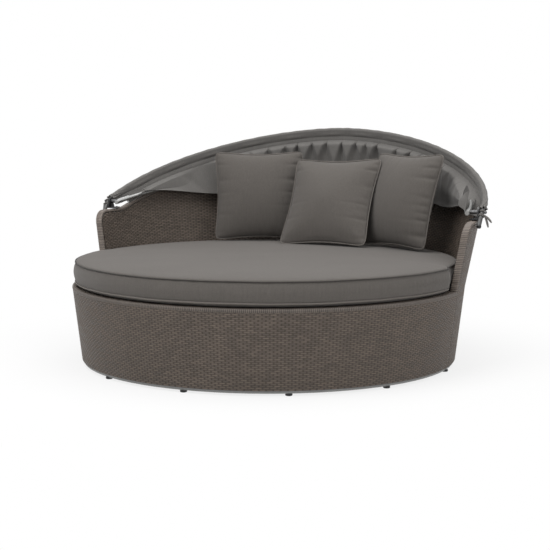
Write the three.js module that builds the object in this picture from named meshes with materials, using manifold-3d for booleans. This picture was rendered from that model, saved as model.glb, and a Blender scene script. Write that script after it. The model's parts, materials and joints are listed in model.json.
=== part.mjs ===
// Round woven daybed with a folding canopy.
// Millimetres, +X to the sitter's left, +Y to the back, +Z up.
// The origin is on the floor, at the centre of the round base.
import * as THREE from 'three';
import { mergeVertices } from 'three/addons/utils/BufferGeometryUtils.js';
import Module from 'manifold-3d';

const wasm = await Module();
wasm.setup();

// Plan and heights of the woven body
const rimRadius = 900;
const rimHeight = 362;
const footInset = 43;
const endRise = 300;
const endFlare = 50;
const backRise = 583;
const backFlare = 140;
const endSetback = 18.5;
const riseStart = 200;
const cornerRadius = 62;
const riseSofteningShare = 0.02;

// Walls and woven skins
const wallThickness = 30;
const skinThickness = 4;
const edgeHeight = 14;
const edgeProud = 1.5;
const edgeRound = 5;
const rollHeight = 18;
const rollRound = 6;
const weaveBottom = 22;
const deckThickness = 5;
const seamGap = 2;
const fit = 0.3;
const hiddenFit = 1.5;

// Aluminium frame
const railSize = 18;
const beamHeight = 40;
const crossBarPlace = 400;
const glideHeight = 10;
const glideRadius = 15;
const legSize = 40;
const legPlateThickness = 4;
const legPlateLength = 160;
const legFootRadius = 25;
const joinBoltInset = 229;
const joinBoltRadius = 4;
const joinHeadRadius = 7;
const joinHeadHeight = 5;

// Seat cushion and scatter cushions
const cushionRimGap = 12;
const cushionWallGap = 7;
const cushionHeight = 112;
const cushionCrown = 18;
const cushionSideBulge = 7;
const cushionTurn = 95;
const cushionEdge = 10;
const cushionUnderCut = 24;
const cushionNarrowing = 0.25;
const crownShares = [[0.05, 0.3], [0.14, 0.62], [0.34, 0.9], [0.66, 1]];
const pillowSize = 450;
const pillowThickness = 140;
const pillowSeam = 7;
const pillowWaist = 18;
const pillowGap = 22;
const pillowPlumpness = 0.85;

// How each scatter cushion stands: its place round the back as a share of its own size, how much of its
// place angle it turns by, its lean, and how far it is pulled forward of the canopy cloth
const leftPillow = { placeShare: -0.755, turnShare: 0.81, leanDegrees: 10 };
const middlePillow = { placeShare: 0.145, turnShare: 0.47, leanDegrees: 28 };
const rightPillow = { placeShare: 0.985, turnShare: 0.74, leanDegrees: 15 };
const leftPillowForward = 47;
const middlePillowForward = 226;
const rightPillowForward = 59;

// Canopy pivots and hoops
const pivotSetback = 170;
const pivotRise = 38;
const middleIncline = THREE.MathUtils.degToRad(10);
const hoopOverBack = 104;
const hoopInset = 41;
const archFullness = 1.8;
const hoopTube = 20;
const tailLength = 75;
const tailDrop = THREE.MathUtils.degToRad(24);
const tailStub = 26;
const middleClearance = 22;
const rearTube = 16;
const rearStandoff = 6;
const rearStart = 245;
const rearFootCount = 5;
const rearFootLength = 24;
const boltRadius = 4;
const boltPlay = 0.3;
const boltHeadHeight = 5;
const boltOverrun = 4;
const earThickness = 6;
const earReach = 17;
const bracketLength = 60;
const bracketPlate = 5;
const screwHeadRadius = 5;
const screwHeadTop = 3.5;
const screwHeadHeight = 2.5;
const spacerRadius = 9;
const nutHeight = 5;
const nutDome = 4;
const nutRadius = 7.5;
const washerGap = 1;
const capLength = 8;
const capProud = 1;

// Canopy cloth
const clothThickness = 4;
const clothPlay = 1.5;
const sleeveWall = 2.5;
const flapLength = 48;
const clothGap = 5;
const foldDepth = 20;
const foldCount = 11;
const sleeveStart = 95;
const middleSleeveStart = 215;
const curtainTurn = THREE.MathUtils.degToRad(28);
const foldDrift = 0.05;
const foldDriftWaves = 1.5;
const foldSharpness = 0.7;
const rearPanelGap = 2;
const tieWidth = 12;
const tieThickness = 2;
const tieTail = 50;
const tieTurnStep = THREE.MathUtils.degToRad(1);

// Numbers of facets
const wallSteps = 38;
const cornerSteps = 5;
const levelSteps = 3;
const archSteps = 24;
const hoopSteps = 36;
const tailSteps = 4;
const middleSleeveSteps = 28;
const sleeveSides = 9;
const tubeSides = 8;
const roundSides = 12;
const legSides = 20;
const cushionSteps = 56;
const pillowSteps = 12;
const curtainColumns = 56;
const curtainRows = 6;

// Finishes
function finish(color, roughness, metalness) {
  return new THREE.MeshStandardMaterial({ color, roughness, metalness });
}
const wicker = finish(0x5d524a, 0.62, 0);
const wickerTrim = finish(0x736860, 0.6, 0);
const aluminium = finish(0x8c8c8a, 0.38, 1);
const hoopMetal = finish(0xb4b4b2, 0.3, 1);
const blackSteel = finish(0x1d1d1e, 0.45, 1);
const zincSteel = finish(0xa2a4a6, 0.32, 1);
const blackPlastic = finish(0x161616, 0.55, 0);
const cloth = finish(0x66625d, 0.9, 0);

const daybed = new THREE.Group();

function add(group, name, geometry, material) {
  const mesh = new THREE.Mesh(geometry, material);
  mesh.name = name;
  group.add(mesh);
  return mesh;
}

// Shared geometry helpers

// Turns a closed mesh the right way out, judged by the sign of its volume.
function faceOut(geometry) {
  const index = geometry.index.array;
  const place = geometry.attributes.position;
  const [a, b, c] = [new THREE.Vector3(), new THREE.Vector3(), new THREE.Vector3()];
  let volume = 0;
  for (let i = 0; i < index.length; i += 3) {
    a.fromBufferAttribute(place, index[i]);
    b.fromBufferAttribute(place, index[i + 1]);
    c.fromBufferAttribute(place, index[i + 2]);
    volume += a.dot(b.cross(c));
  }
  if (volume < 0) {
    for (let i = 0; i < index.length; i += 3) {
      [index[i], index[i + 1]] = [index[i + 1], index[i]];
    }
  }
  geometry.computeVertexNormals();
  return geometry;
}

// Closed solid through a row of sections. sectionAt(i) gives the section's outline as 2D points,
// and placeAt(i, point) puts a point of it in space. Every section has as many points.
function loft(count, sectionAt, placeAt) {
  const vertices = [];
  const faces = [];
  const size = sectionAt(0).length;
  for (let i = 0; i < count; i++) {
    for (const point of sectionAt(i)) {
      vertices.push(...placeAt(i, point).toArray());
    }
  }
  for (let i = 0; i < count - 1; i++) {
    for (let k = 0; k < size; k++) {
      const next = (k + 1) % size;
      const [a, b] = [i * size + k, i * size + next];
      const [c, d] = [(i + 1) * size + k, (i + 1) * size + next];
      faces.push(a, b, d, a, d, c);
    }
  }
  for (const end of [0, count - 1]) {
    const outline = sectionAt(end);
    const clockwise = THREE.ShapeUtils.isClockWise(outline);
    const caps = THREE.ShapeUtils.triangulateShape(outline, []);
    for (const [a, b, c] of caps) {
      const flip = (end === 0) === clockwise;
      faces.push(end * size + a, end * size + (flip ? b : c), end * size + (flip ? c : b));
    }
  }
  const geometry = new THREE.BufferGeometry();
  geometry.setAttribute('position', new THREE.Float32BufferAttribute(vertices, 3));
  geometry.setIndex(faces);
  return faceOut(geometry);
}

function toSolid(geometry) {
  const bare = geometry.clone();
  bare.deleteAttribute('normal');
  bare.deleteAttribute('uv');
  const merged = mergeVertices(bare, 1e-3);
  return new wasm.Manifold(new wasm.Mesh({
    numProp: 3,
    vertProperties: new Float32Array(merged.attributes.position.array),
    triVerts: new Uint32Array(merged.index.array),
  }));
}

function fromSolid(solid) {
  const mesh = solid.getMesh();
  const geometry = new THREE.BufferGeometry();
  geometry.setAttribute('position', new THREE.Float32BufferAttribute(mesh.vertProperties, 3));
  geometry.setIndex(Array.from(mesh.triVerts));
  geometry.computeVertexNormals();
  return geometry;
}

const join = (...parts) => fromSolid(parts.map(toSolid).reduce((a, b) => a.add(b)));
const cut = (part, ...tools) => fromSolid(tools.map(toSolid).reduce((a, b) => a.subtract(b), toSolid(part)));

function box(width, depth, height, x, y, z) {
  return new THREE.BoxGeometry(width, depth, height).translate(x, y, z);
}

// Round bar along X, from one place to another
function barX(radius, from, to) {
  const bar = new THREE.CylinderGeometry(radius, radius, Math.abs(to - from), roundSides);
  return bar.rotateZ(Math.PI / 2).translate((from + to) / 2, 0, 0);
}

function circleShape(radius, sides) {
  const shape = new THREE.Shape();
  for (let k = 0; k < sides; k++) {
    const angle = (2 * Math.PI * (k + 0.5)) / sides;
    const reach = radius / Math.cos(Math.PI / sides);
    shape[k ? 'lineTo' : 'moveTo'](reach * Math.cos(angle), reach * Math.sin(angle));
  }
  shape.closePath();
  return shape;
}

// Round tube along a curve
function tubeAlong(curve, radius, steps) {
  const section = circleShape(radius, tubeSides);
  return new THREE.ExtrudeGeometry(section, { steps, extrudePath: curve, bevelEnabled: false });
}

// The woven body's outer surface

const endHeight = rimHeight + endRise;
const backHeight = rimHeight + backRise;
const baseFlareShare = footInset / rimHeight;
const endFlareShare = endFlare / endRise;
const backFlareShare = backFlare / backRise;

// The back leans out more behind than at its two ends
function radiusAt(z, angle = 0) {
  if (z < rimHeight) return rimRadius - baseFlareShare * (rimHeight - z);
  const behindShare = Math.sin(angle) * (2 - Math.sin(angle));
  const flareShare = endFlareShare + (backFlareShare - endFlareShare) * behindShare;
  return rimRadius + flareShare * (z - rimHeight);
}

// The back's ends lean backwards above the rim, and this angle is how far they have turned at a height
function leanAt(angle, z) {
  const risenShare = Math.max(0, z - rimHeight) / endRise;
  return (endSetback * risenShare * Math.cos(angle)) / rimRadius;
}

// Point in the wall: angle round the rim, height, and depth in from the outer face
function wallPoint(angle, z, inset = 0) {
  const radius = radiusAt(z, angle) - inset;
  const turned = angle + leanAt(angle, z);
  return new THREE.Vector3(radius * Math.cos(turned), radius * Math.sin(turned), z);
}

// Angle round the rim whose wall point at a height has the given distance behind the joint
function angleBehind(depth, z) {
  let angle = 0;
  for (let i = 0; i < 8; i++) angle = Math.asin(depth / radiusAt(z, angle)) - leanAt(angle, z);
  return angle;
}

// Half the width over the wall's outer faces, at a height and a distance behind the joint
function halfWidthBehind(depth, z) {
  return Math.sqrt(radiusAt(z, angleBehind(depth, z)) ** 2 - depth ** 2);
}

// Height of the back's top line at an angle: level over the ends, then rising to the back
function topLine(angle) {
  const startShare = riseStart / radiusAt(endHeight);
  const softRise = (share) => 0.5 * (share + Math.hypot(share, riseSofteningShare));
  const riseShare = softRise(Math.sin(angle) - startShare) / softRise(1 - startShare);
  return endHeight + (backHeight - endHeight) * riseShare;
}

// The same line with rounded corners at the two ends, moved inwards by an inset.
// The place runs along the rim circle, from the right end to the left end.
const halfRound = Math.PI * rimRadius;
function edgeLine(place, inset = 0) {
  const step = seamGap / 2;
  const angle = place / rimRadius;
  const slope = (topLine((place + step) / rimRadius) - topLine((place - step) / rimRadius)) / (2 * step);
  const corner = cornerRadius - inset;
  const fromEnd = Math.min(place, halfRound - place) - inset;
  const level = topLine(angle) - inset * Math.hypot(1, slope);
  if (fromEnd >= corner) return level;
  return level - corner + Math.sqrt(Math.max(0, corner ** 2 - (corner - fromEnd) ** 2));
}

// Places spread evenly along the rim circle
function evenPlaces(from, to, steps) {
  return Array.from({ length: steps + 1 }, (_, i) => from + ((to - from) * i) / steps);
}

// Places from one end of the back to the other: close together round each corner, then level, then rising
const risePlace = rimRadius * Math.asin(riseStart / radiusAt(endHeight));
function backPlaces(from) {
  const corner = evenPlaces(0, Math.PI / 2, cornerSteps).map((turn) => {
    return from + (cornerRadius - from) * (1 - Math.cos(turn));
  });
  const level = evenPlaces(cornerRadius, risePlace, levelSteps).slice(1, -1);
  const rising = evenPlaces(risePlace, halfRound - risePlace, wallSteps - 2 * levelSteps);
  const mirrored = [...corner, ...level].reverse().map((place) => halfRound - place);
  return [...corner, ...level, ...rising, ...mirrored];
}

// Sheet that follows the wall through a row of places on the rim circle
function wallSheet({ places, bottom, top, outer, inner }) {
  const sectionAt = (i) => {
    const [low, high] = [bottom(places[i]), top(places[i])];
    const rows = low < rimHeight && high > rimHeight ? [low, rimHeight, high] : [low, high];
    const face = (inset) => (z) => new THREE.Vector2(-inset, z);
    return [...rows.map(face(outer)), ...rows.reverse().map(face(inner))];
  };
  const placeAt = (i, point) => wallPoint(places[i] / rimRadius, point.y, -point.x);
  return loft(places.length, sectionAt, placeAt);
}

// Bar of constant section round the body at one height
function ringBar(places, section) {
  const placeAt = (i, point) => {
    const angle = places[i] / rimRadius;
    return new THREE.Vector3(point.x * Math.cos(angle), point.x * Math.sin(angle), point.y);
  };
  return loft(places.length, () => section, placeAt);
}

// Four-cornered section with its outer face on the wall's slope, between two heights
function slopedSection(outer, inner, low, high) {
  return [
    new THREE.Vector2(radiusAt(low) - outer, low),
    new THREE.Vector2(radiusAt(high) - outer, high),
    new THREE.Vector2(radiusAt(high) - inner, high),
    new THREE.Vector2(radiusAt(low) - inner, low),
  ];
}

// Front half of the base

const frontPlaces = evenPlaces(-halfRound + seamGap, -seamGap, wallSteps);
const railOuter = (wallThickness - railSize) / 2;
const railInner = railOuter + railSize;
const railTop = glideHeight + railSize;
const deckTop = rimHeight;
const seatRailTop = deckTop - deckThickness - fit;
const seatRailBottom = seatRailTop - railSize;
const seatRailOuter = railInner + hiddenFit;
const seatRailInner = seatRailOuter + railSize;
const rollWidth = seatRailOuter - fit;
const frontDeckRadius = rimRadius - rollWidth - fit;
const rearDeckRadius = radiusAt(deckTop - deckThickness) - wallThickness - edgeProud - 2 * fit;
const beamBottom = seatRailTop - beamHeight;
const seatRailFace = radiusAt(beamBottom) - seatRailInner;

add(daybed, 'front_woven_skin', wallSheet({
  places: frontPlaces,
  bottom: () => weaveBottom,
  top: () => rimHeight - rollHeight - fit,
  outer: 0,
  inner: skinThickness,
}), wicker);

function rollSection() {
  const low = rimHeight - rollHeight;
  const outer = rimRadius;
  const inner = rimRadius - rollWidth;
  return [
    new THREE.Vector2(outer - edgeProud, low),
    new THREE.Vector2(outer + edgeProud, low + rollRound),
    new THREE.Vector2(outer + edgeProud, rimHeight - rollRound),
    new THREE.Vector2(outer - rollRound / 2, rimHeight - fit),
    new THREE.Vector2(inner + rollRound / 2, rimHeight - fit),
    new THREE.Vector2(inner, rimHeight - rollRound),
    new THREE.Vector2(inner, low),
  ];
}
add(daybed, 'front_rim_roll', ringBar(frontPlaces, rollSection()), wickerTrim);

const bottomSection = slopedSection(railOuter, railInner, glideHeight + fit, railTop);
const seatSection = slopedSection(seatRailOuter, seatRailInner, seatRailBottom, seatRailTop);
add(daybed, 'front_bottom_rail', ringBar(frontPlaces, bottomSection), aluminium);
add(daybed, 'front_seat_rail', ringBar(frontPlaces, seatSection), aluminium);

// Upright of square tube in the wall, bent where the wall bends
function upright(angle, bottom, top) {
  const rows = top > rimHeight ? [bottom, rimHeight, top] : [bottom, top];
  const half = railSize / 2;
  const section = [[-half, 0], [half, 0], [half, railSize], [-half, railSize]];
  const outline = section.map(([along, depth]) => new THREE.Vector2(along, depth));
  const across = new THREE.Vector3(-Math.sin(angle), Math.cos(angle), 0);
  const placeAt = (i, point) => {
    return wallPoint(angle, rows[i], railOuter + point.y).addScaledVector(across, point.x);
  };
  return loft(rows.length, () => outline, placeAt);
}

const postAngle = (count, i, margin) => margin + ((Math.PI - 2 * margin) * i) / (count - 1);
const frontPostCount = 5;
const frontPostMargin = (railSize + seamGap) / rimRadius;
for (let i = 0; i < frontPostCount; i++) {
  const angle = Math.PI + postAngle(frontPostCount, i, frontPostMargin);
  const post = upright(angle, railTop + fit, rimHeight - rollHeight - fit);
  add(daybed, `front_upright_${i + 1}`, post, aluminium);
}

// Half-round woven deck with its straight edge on the joint
function seatDeck(side, radius) {
  const halfGap = seamGap / 2;
  const reach = Math.asin(halfGap / radius);
  const shape = new THREE.Shape();
  shape.absarc(0, 0, radius, reach, Math.PI - reach, false);
  shape.closePath();
  const deck = new THREE.ExtrudeGeometry(shape, {
    depth: deckThickness - fit, bevelEnabled: false, curveSegments: wallSteps,
  });
  if (side < 0) deck.rotateZ(Math.PI);
  return deck.translate(0, 0, deckTop - deckThickness);
}

// Beam along the joint, with holes for the two joining bolts
const beamReach = Math.sqrt(seatRailFace ** 2 - (railSize + seamGap) ** 2) - hiddenFit;
const joinBoltPlace = beamReach - joinBoltInset;
function jointBeam(side) {
  const middle = side * (seamGap + railSize / 2);
  const beam = box(2 * beamReach, railSize, beamHeight, 0, middle, beamBottom + beamHeight / 2);
  const holes = [-1, 1].map((end) => {
    const radius = joinBoltRadius + boltPlay;
    const hole = new THREE.CylinderGeometry(radius, radius, 2 * railSize, roundSides);
    return hole.translate(end * joinBoltPlace, middle, beamBottom + beamHeight / 2);
  });
  return cut(beam, ...holes);
}

function crossBar(side) {
  const far = crossBarPlace + railSize / 2;
  const length = 2 * (Math.sqrt((radiusAt(seatRailBottom) - seatRailInner) ** 2 - far ** 2) - hiddenFit);
  return box(length, railSize, railSize, 0, side * crossBarPlace, seatRailBottom + railSize / 2);
}

function glide(angle) {
  const profile = [
    new THREE.Vector2(0, 0),
    new THREE.Vector2(glideRadius - edgeProud, 0),
    new THREE.Vector2(glideRadius, edgeProud),
    new THREE.Vector2(glideRadius - edgeProud, glideHeight),
    new THREE.Vector2(0, glideHeight),
  ];
  const turned = new THREE.LatheGeometry(profile, roundSides).rotateX(Math.PI / 2);
  const radius = radiusAt(glideHeight) - wallThickness / 2;
  return turned.translate(radius * Math.cos(angle), radius * Math.sin(angle), 0);
}

add(daybed, 'front_seat_deck', seatDeck(-1, frontDeckRadius), wicker);
add(daybed, 'front_joint_beam', jointBeam(-1), aluminium);
add(daybed, 'front_cross_bar', crossBar(-1), aluminium);
const glideCount = 5;
for (let i = 0; i < glideCount; i++) {
  const angle = Math.PI + (Math.PI * (i + 1)) / (glideCount + 1);
  add(daybed, `front_glide_${i + 1}`, glide(angle), blackPlastic);
}

// Rear half of the base, with the back

const rearStep = edgeHeight + hiddenFit;
const rearPlaces = evenPlaces(rearStep, halfRound - rearStep, wallSteps);
const skinTop = (place) => edgeLine(place, rearStep);
add(daybed, 'back_outer_skin', wallSheet({
  places: backPlaces(rearStep),
  bottom: () => weaveBottom,
  top: skinTop,
  outer: 0,
  inner: skinThickness,
}), wicker);
add(daybed, 'back_inner_skin', wallSheet({
  places: backPlaces(rearStep),
  bottom: () => seatRailTop + hiddenFit,
  top: skinTop,
  outer: wallThickness - skinThickness,
  inner: wallThickness,
}), wicker);

// Outline of the back's edge, from the floor end at the right, over the top, to the floor end at the left
function backEdge(lowest) {
  const upEnd = [lowest, rimHeight].map((z) => new THREE.Vector2(0, z));
  const downEnd = [rimHeight, lowest].map((z) => new THREE.Vector2(halfRound, z));
  return [...upEnd, ...backPlaces(0).map((place) => new THREE.Vector2(place, edgeLine(place))), ...downEnd];
}

// Sweeps a section of (inset from the edge, depth into the wall) points along the back's edge
function sweepEdge(lowest, section) {
  const line = backEdge(lowest);
  const placeAt = (i, point) => {
    const before = line[Math.max(i - 1, 0)];
    const after = line[Math.min(i + 1, line.length - 1)];
    const along = after.clone().sub(before).normalize();
    const atFoot = i === 0 || i === line.length - 1;
    const inward = atFoot ? new THREE.Vector2(i ? -1 : 1, 0) : new THREE.Vector2(along.y, -along.x);
    const spot = line[i].clone().addScaledVector(inward, point.x);
    return wallPoint(spot.x / rimRadius, spot.y, point.y);
  };
  return loft(line.length, () => section, placeAt);
}

const outerLip = -edgeProud;
const innerLip = wallThickness + edgeProud;
add(daybed, 'back_wrapped_edge', sweepEdge(weaveBottom, [
  new THREE.Vector2(edgeHeight, outerLip),
  new THREE.Vector2(edgeRound, outerLip),
  new THREE.Vector2(0, outerLip + edgeRound),
  new THREE.Vector2(0, innerLip - edgeRound),
  new THREE.Vector2(edgeRound, innerLip),
  new THREE.Vector2(edgeHeight, innerLip),
]), wickerTrim);

const frameInset = edgeHeight + hiddenFit;
add(daybed, 'back_frame_tube', sweepEdge(railTop + fit, [
  new THREE.Vector2(frameInset, railOuter),
  new THREE.Vector2(frameInset, railInner),
  new THREE.Vector2(frameInset + railSize, railInner),
  new THREE.Vector2(frameInset + railSize, railOuter),
]), aluminium);

add(daybed, 'rear_bottom_rail', ringBar(rearPlaces, bottomSection), aluminium);
add(daybed, 'rear_seat_rail', ringBar(rearPlaces, seatSection), aluminium);
add(daybed, 'rear_seat_deck', seatDeck(1, rearDeckRadius), wicker);
add(daybed, 'rear_joint_beam', jointBeam(1), aluminium);
add(daybed, 'rear_cross_bar', crossBar(1), aluminium);

const rearPostCount = 3;
for (let i = 0; i < rearPostCount; i++) {
  const angle = (Math.PI * (i + 1)) / (rearPostCount + 1);
  const sides = [-railSize / 2, railSize / 2].map((half) => edgeLine(rimRadius * angle + half));
  const lowSide = Math.min(...sides);
  const top = lowSide - (frameInset + railSize) * Math.hypot(1, backFlareShare) - 2 * hiddenFit;
  add(daybed, `rear_upright_${i + 1}`, upright(angle, railTop + fit, top), aluminium);
}
const rearGlideMargin = (glideRadius + rearStep) / rimRadius;
for (let i = 0; i < glideCount; i++) {
  add(daybed, `rear_glide_${i + 1}`, glide(postAngle(glideCount, i, rearGlideMargin)), blackPlastic);
}

// Pieces that hold the halves together

function joinBolt(end) {
  const middle = beamBottom + beamHeight / 2;
  const half = seamGap + railSize + fit;
  const length = 2 * half + joinHeadHeight;
  const shaft = new THREE.CylinderGeometry(joinBoltRadius, joinBoltRadius, length, roundSides);
  const ends = [-1, 1].map((side) => {
    const head = new THREE.CylinderGeometry(joinHeadRadius, joinHeadRadius, joinHeadHeight, 6);
    return head.translate(0, side * (half + joinHeadHeight / 2), 0);
  });
  return join(shaft, ...ends).translate(end * joinBoltPlace, 0, middle);
}
add(daybed, 'join_bolt_right', joinBolt(1), zincSteel);
add(daybed, 'join_bolt_left', joinBolt(-1), zincSteel);

// Centre leg: a plate under both beams, a square tube, and a round foot
const plateTop = beamBottom - fit;
const legTop = plateTop - legPlateThickness / 2;
const legBottom = glideHeight / 2;
add(daybed, 'centre_leg', join(
  box(legPlateLength, 2 * (railSize + seamGap), legPlateThickness, 0, 0, plateTop - legPlateThickness / 2),
  box(legSize, legSize, legTop - legBottom, 0, 0, (legTop + legBottom) / 2),
  new THREE.CylinderGeometry(legFootRadius, legFootRadius, glideHeight, legSides)
    .rotateX(Math.PI / 2).translate(0, 0, glideHeight / 2),
), aluminium);

// Cushions

// Closed solid between two grids of points. placeAt(i, j, side) gives a point of the upper or lower grid.
function slab(columns, rows, placeAt) {
  const vertices = [];
  const faces = [];
  const id = (i, j, side) => (side * (columns + 1) + i) * (rows + 1) + j;
  for (const side of [0, 1]) {
    for (let i = 0; i <= columns; i++) {
      for (let j = 0; j <= rows; j++) {
        vertices.push(...placeAt(i, j, side).toArray());
      }
    }
  }
  const quad = (a, b, c, d) => faces.push(a, b, c, a, c, d);
  for (let i = 0; i < columns; i++) {
    for (let j = 0; j < rows; j++) {
      quad(id(i, j, 0), id(i + 1, j, 0), id(i + 1, j + 1, 0), id(i, j + 1, 0));
      quad(id(i, j, 1), id(i, j + 1, 1), id(i + 1, j + 1, 1), id(i + 1, j, 1));
    }
    quad(id(i, 0, 0), id(i, 0, 1), id(i + 1, 0, 1), id(i + 1, 0, 0));
    quad(id(i, rows, 0), id(i + 1, rows, 0), id(i + 1, rows, 1), id(i, rows, 1));
  }
  for (let j = 0; j < rows; j++) {
    quad(id(0, j, 0), id(0, j + 1, 0), id(0, j + 1, 1), id(0, j, 1));
    quad(id(columns, j, 0), id(columns, j, 1), id(columns, j + 1, 1), id(columns, j + 1, 0));
  }
  const geometry = new THREE.BufferGeometry();
  geometry.setAttribute('position', new THREE.Float32BufferAttribute(vertices, 3));
  geometry.setIndex(faces);
  return faceOut(geometry);
}

// Plan radius of the seat cushion: full in front, drawn in where it passes between the wall ends
const cushionFrontRadius = rimRadius - cushionRimGap;
const cushionRearRadius = rimRadius - wallThickness - cushionWallGap;
function cushionRadius(angle) {
  const forward = THREE.MathUtils.clamp(-cushionRearRadius * Math.sin(angle) / cushionTurn, 0, 1);
  const blendShare = THREE.MathUtils.smootherstep(forward, 0, 1);
  return cushionRearRadius + (cushionFrontRadius - cushionRearRadius) * blendShare;
}

// Round boxed cushion. Its profile is given as (depth in from the side, height) and a crown on top.
const cushionBottom = deckTop + fit;
const cushionTop = cushionBottom + cushionHeight;
function seatCushion() {
  const low = cushionBottom;
  const high = cushionTop;
  const middle = (low + high) / 2;
  const profile = [
    [cushionUnderCut, low],
    [cushionEdge, low + cushionEdge / 3],
    [0, low + cushionEdge],
    [cushionEdge / 3, low + 2 * cushionEdge],
    [-cushionSideBulge + cushionEdge / 3, middle],
    [cushionEdge / 3, high - cushionEdge],
    [0, high],
    [cushionEdge / 2, high + cushionEdge / 4],
    ...crownShares.map(([depth, rise]) => [depth * cushionFrontRadius, high + rise * cushionCrown]),
  ];
  const points = profile.map(([depth, z]) => new THREE.Vector2(cushionFrontRadius - depth, z));
  const outline = [new THREE.Vector2(0, low), ...points, new THREE.Vector2(0, high + cushionCrown)];
  const cushion = new THREE.LatheGeometry(outline, cushionSteps).rotateX(Math.PI / 2).rotateZ(Math.PI / 2);
  const place = cushion.attributes.position;
  for (let i = 0; i < place.count; i++) {
    const angle = Math.atan2(place.getY(i), place.getX(i));
    const closer = angle - cushionNarrowing * Math.sin(2 * angle);
    const radius = Math.hypot(place.getX(i), place.getY(i)) * (cushionRadius(closer) / cushionFrontRadius);
    place.setXY(i, radius * Math.cos(closer), radius * Math.sin(closer));
  }
  return cushion;
}
add(daybed, 'seat_cushion', seatCushion(), cloth);

// Knife-edge cushion standing on its lower edge, its sides drawn in between the corners
function pillow() {
  const half = pillowSize / 2;
  const placeAt = (i, j, side) => {
    const [a, b] = [(2 * i) / pillowSteps - 1, (2 * j) / pillowSteps - 1];
    const [ease, easeUp] = [Math.sin((a * Math.PI) / 2), Math.sin((b * Math.PI) / 2)];
    const x = ease * (half - pillowWaist * (1 - easeUp ** 2));
    const z = easeUp * (half - pillowWaist * (1 - ease ** 2));
    const fullness = Math.sqrt((1 - ease ** 2) * (1 - easeUp ** 2)) ** pillowPlumpness;
    const depth = pillowSeam / 2 + ((pillowThickness - pillowSeam) / 2) * fullness;
    return new THREE.Vector3(x, side ? depth : -depth, z + half);
  };
  return slab(pillowSteps, pillowSteps, placeAt);
}

// Canopy

const tubeRadius = hoopTube / 2;
const tubeCorner = tubeRadius / Math.cos(Math.PI / tubeSides);
const pivotHeight = endHeight + pivotRise;
const frontReach = rimRadius + backFlare - pivotSetback - hoopInset;
const frontIncline = Math.asin((backHeight + hoopOverBack - pivotHeight) / frontReach);
const tailAngle = frontIncline + tailDrop;
const tailReach = tailLength * Math.cos(tailAngle);
const tailFace = halfWidthBehind(pivotSetback - tailReach, endHeight) + edgeProud;
const frontHalfWidth = tailFace + 2 * washerGap + tubeCorner;
const earOuter = frontHalfWidth - tubeCorner - washerGap;
const earInner = earOuter - earThickness;
const droopRadius = radiusAt(pivotHeight) - wallThickness - middleClearance;
const droopTilt = Math.asin(pivotSetback / droopRadius);
const sleeveRadius = tubeRadius + clothPlay + sleeveWall;

// Everything below turns about this axis or stands on it
const pivots = new THREE.Group();
pivots.position.set(0, pivotSetback, pivotHeight);
daybed.add(pivots);
const frontHoop = new THREE.Group();
frontHoop.rotation.x = frontIncline;
pivots.add(frontHoop);
const middleHoop = new THREE.Group();
middleHoop.rotation.x = middleIncline;
pivots.add(middleHoop);

// Front hoop's arch in its own plane, from the right pivot (0) to the left one (PI)
function frontArch(turn) {
  const bow = (value) => Math.sign(value) * Math.abs(value) ** (2 / archFullness);
  return new THREE.Vector3(frontHalfWidth * bow(Math.cos(turn)), frontReach * bow(Math.sin(turn)), 0);
}

// Turn along that arch at a distance out from the pivots
const archTurn = (out) => Math.asin((out / frontReach) ** (archFullness / 2));

// Middle hoop's arch in its own plane, at an angle round the body: it keeps its clearance from the wall
function middleArchAt(angle) {
  const inset = wallThickness + middleClearance;
  let reach = 0;
  let radius = 0;
  for (let i = 0; i < 8; i++) {
    radius = radiusAt(pivotHeight + reach * Math.sin(middleIncline), angle) - inset;
    reach = (radius * Math.sin(angle) - pivotSetback) / Math.cos(middleIncline);
  }
  return new THREE.Vector3(radius * Math.cos(angle), reach, 0);
}

// The angle at which it crosses the pivot axis, and its slant there
let middleStart = droopTilt;
for (let i = 0; i < 8; i++) middleStart = Math.atan2(pivotSetback, middleArchAt(middleStart).x);
const middleHalfWidth = middleArchAt(middleStart).x;
const tiltStep = seamGap / rimRadius;
const pastPivot = middleArchAt(middleStart + tiltStep).sub(middleArchAt(middleStart - tiltStep));
const middleTilt = Math.atan2(-pastPivot.x, pastPivot.y);
const middleArch = (share) => middleArchAt(middleStart + (Math.PI - 2 * middleStart) * share);

// Level bow inside the wall, along which the slack cloth of the canopy hangs
function droopArch(share) {
  const turn = droopTilt + (Math.PI - 2 * droopTilt) * share;
  return new THREE.Vector3(droopRadius * Math.cos(turn), droopRadius * Math.sin(turn) - pivotSetback, 0);
}

function frontHoopLine() {
  const tail = new THREE.Vector3(0, -Math.cos(tailDrop), -Math.sin(tailDrop));
  const bendTurn = hoopTube / frontReach;
  const turns = [0, bendTurn];
  for (let i = 1; i < archSteps; i++) turns.push((Math.PI * i) / archSteps);
  turns.push(Math.PI - bendTurn, Math.PI);
  const tailPoints = (turn) => [tailLength, hoopTube].map((reach) => {
    return frontArch(turn).addScaledVector(tail, reach);
  });
  const points = [...tailPoints(0), ...turns.map(frontArch), ...tailPoints(Math.PI).reverse()];
  return new THREE.CatmullRomCurve3(points, false, 'centripetal');
}

function middleHoopLine() {
  const stubShare = tailStub / (middleHalfWidth * (Math.PI - 2 * middleStart));
  const points = [];
  for (let i = 0; i <= archSteps; i++) {
    points.push(middleArch(-stubShare + ((1 + 2 * stubShare) * i) / archSteps));
  }
  return new THREE.CatmullRomCurve3(points, false, 'centripetal');
}

const pivotHole = (from, to) => barX(boltRadius + boltPlay, from, to);
function bothSides(halfWidth) {
  const [near, far] = [halfWidth - 2 * hoopTube, halfWidth + 2 * hoopTube];
  return [pivotHole(near, far), pivotHole(-near, -far)];
}

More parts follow.
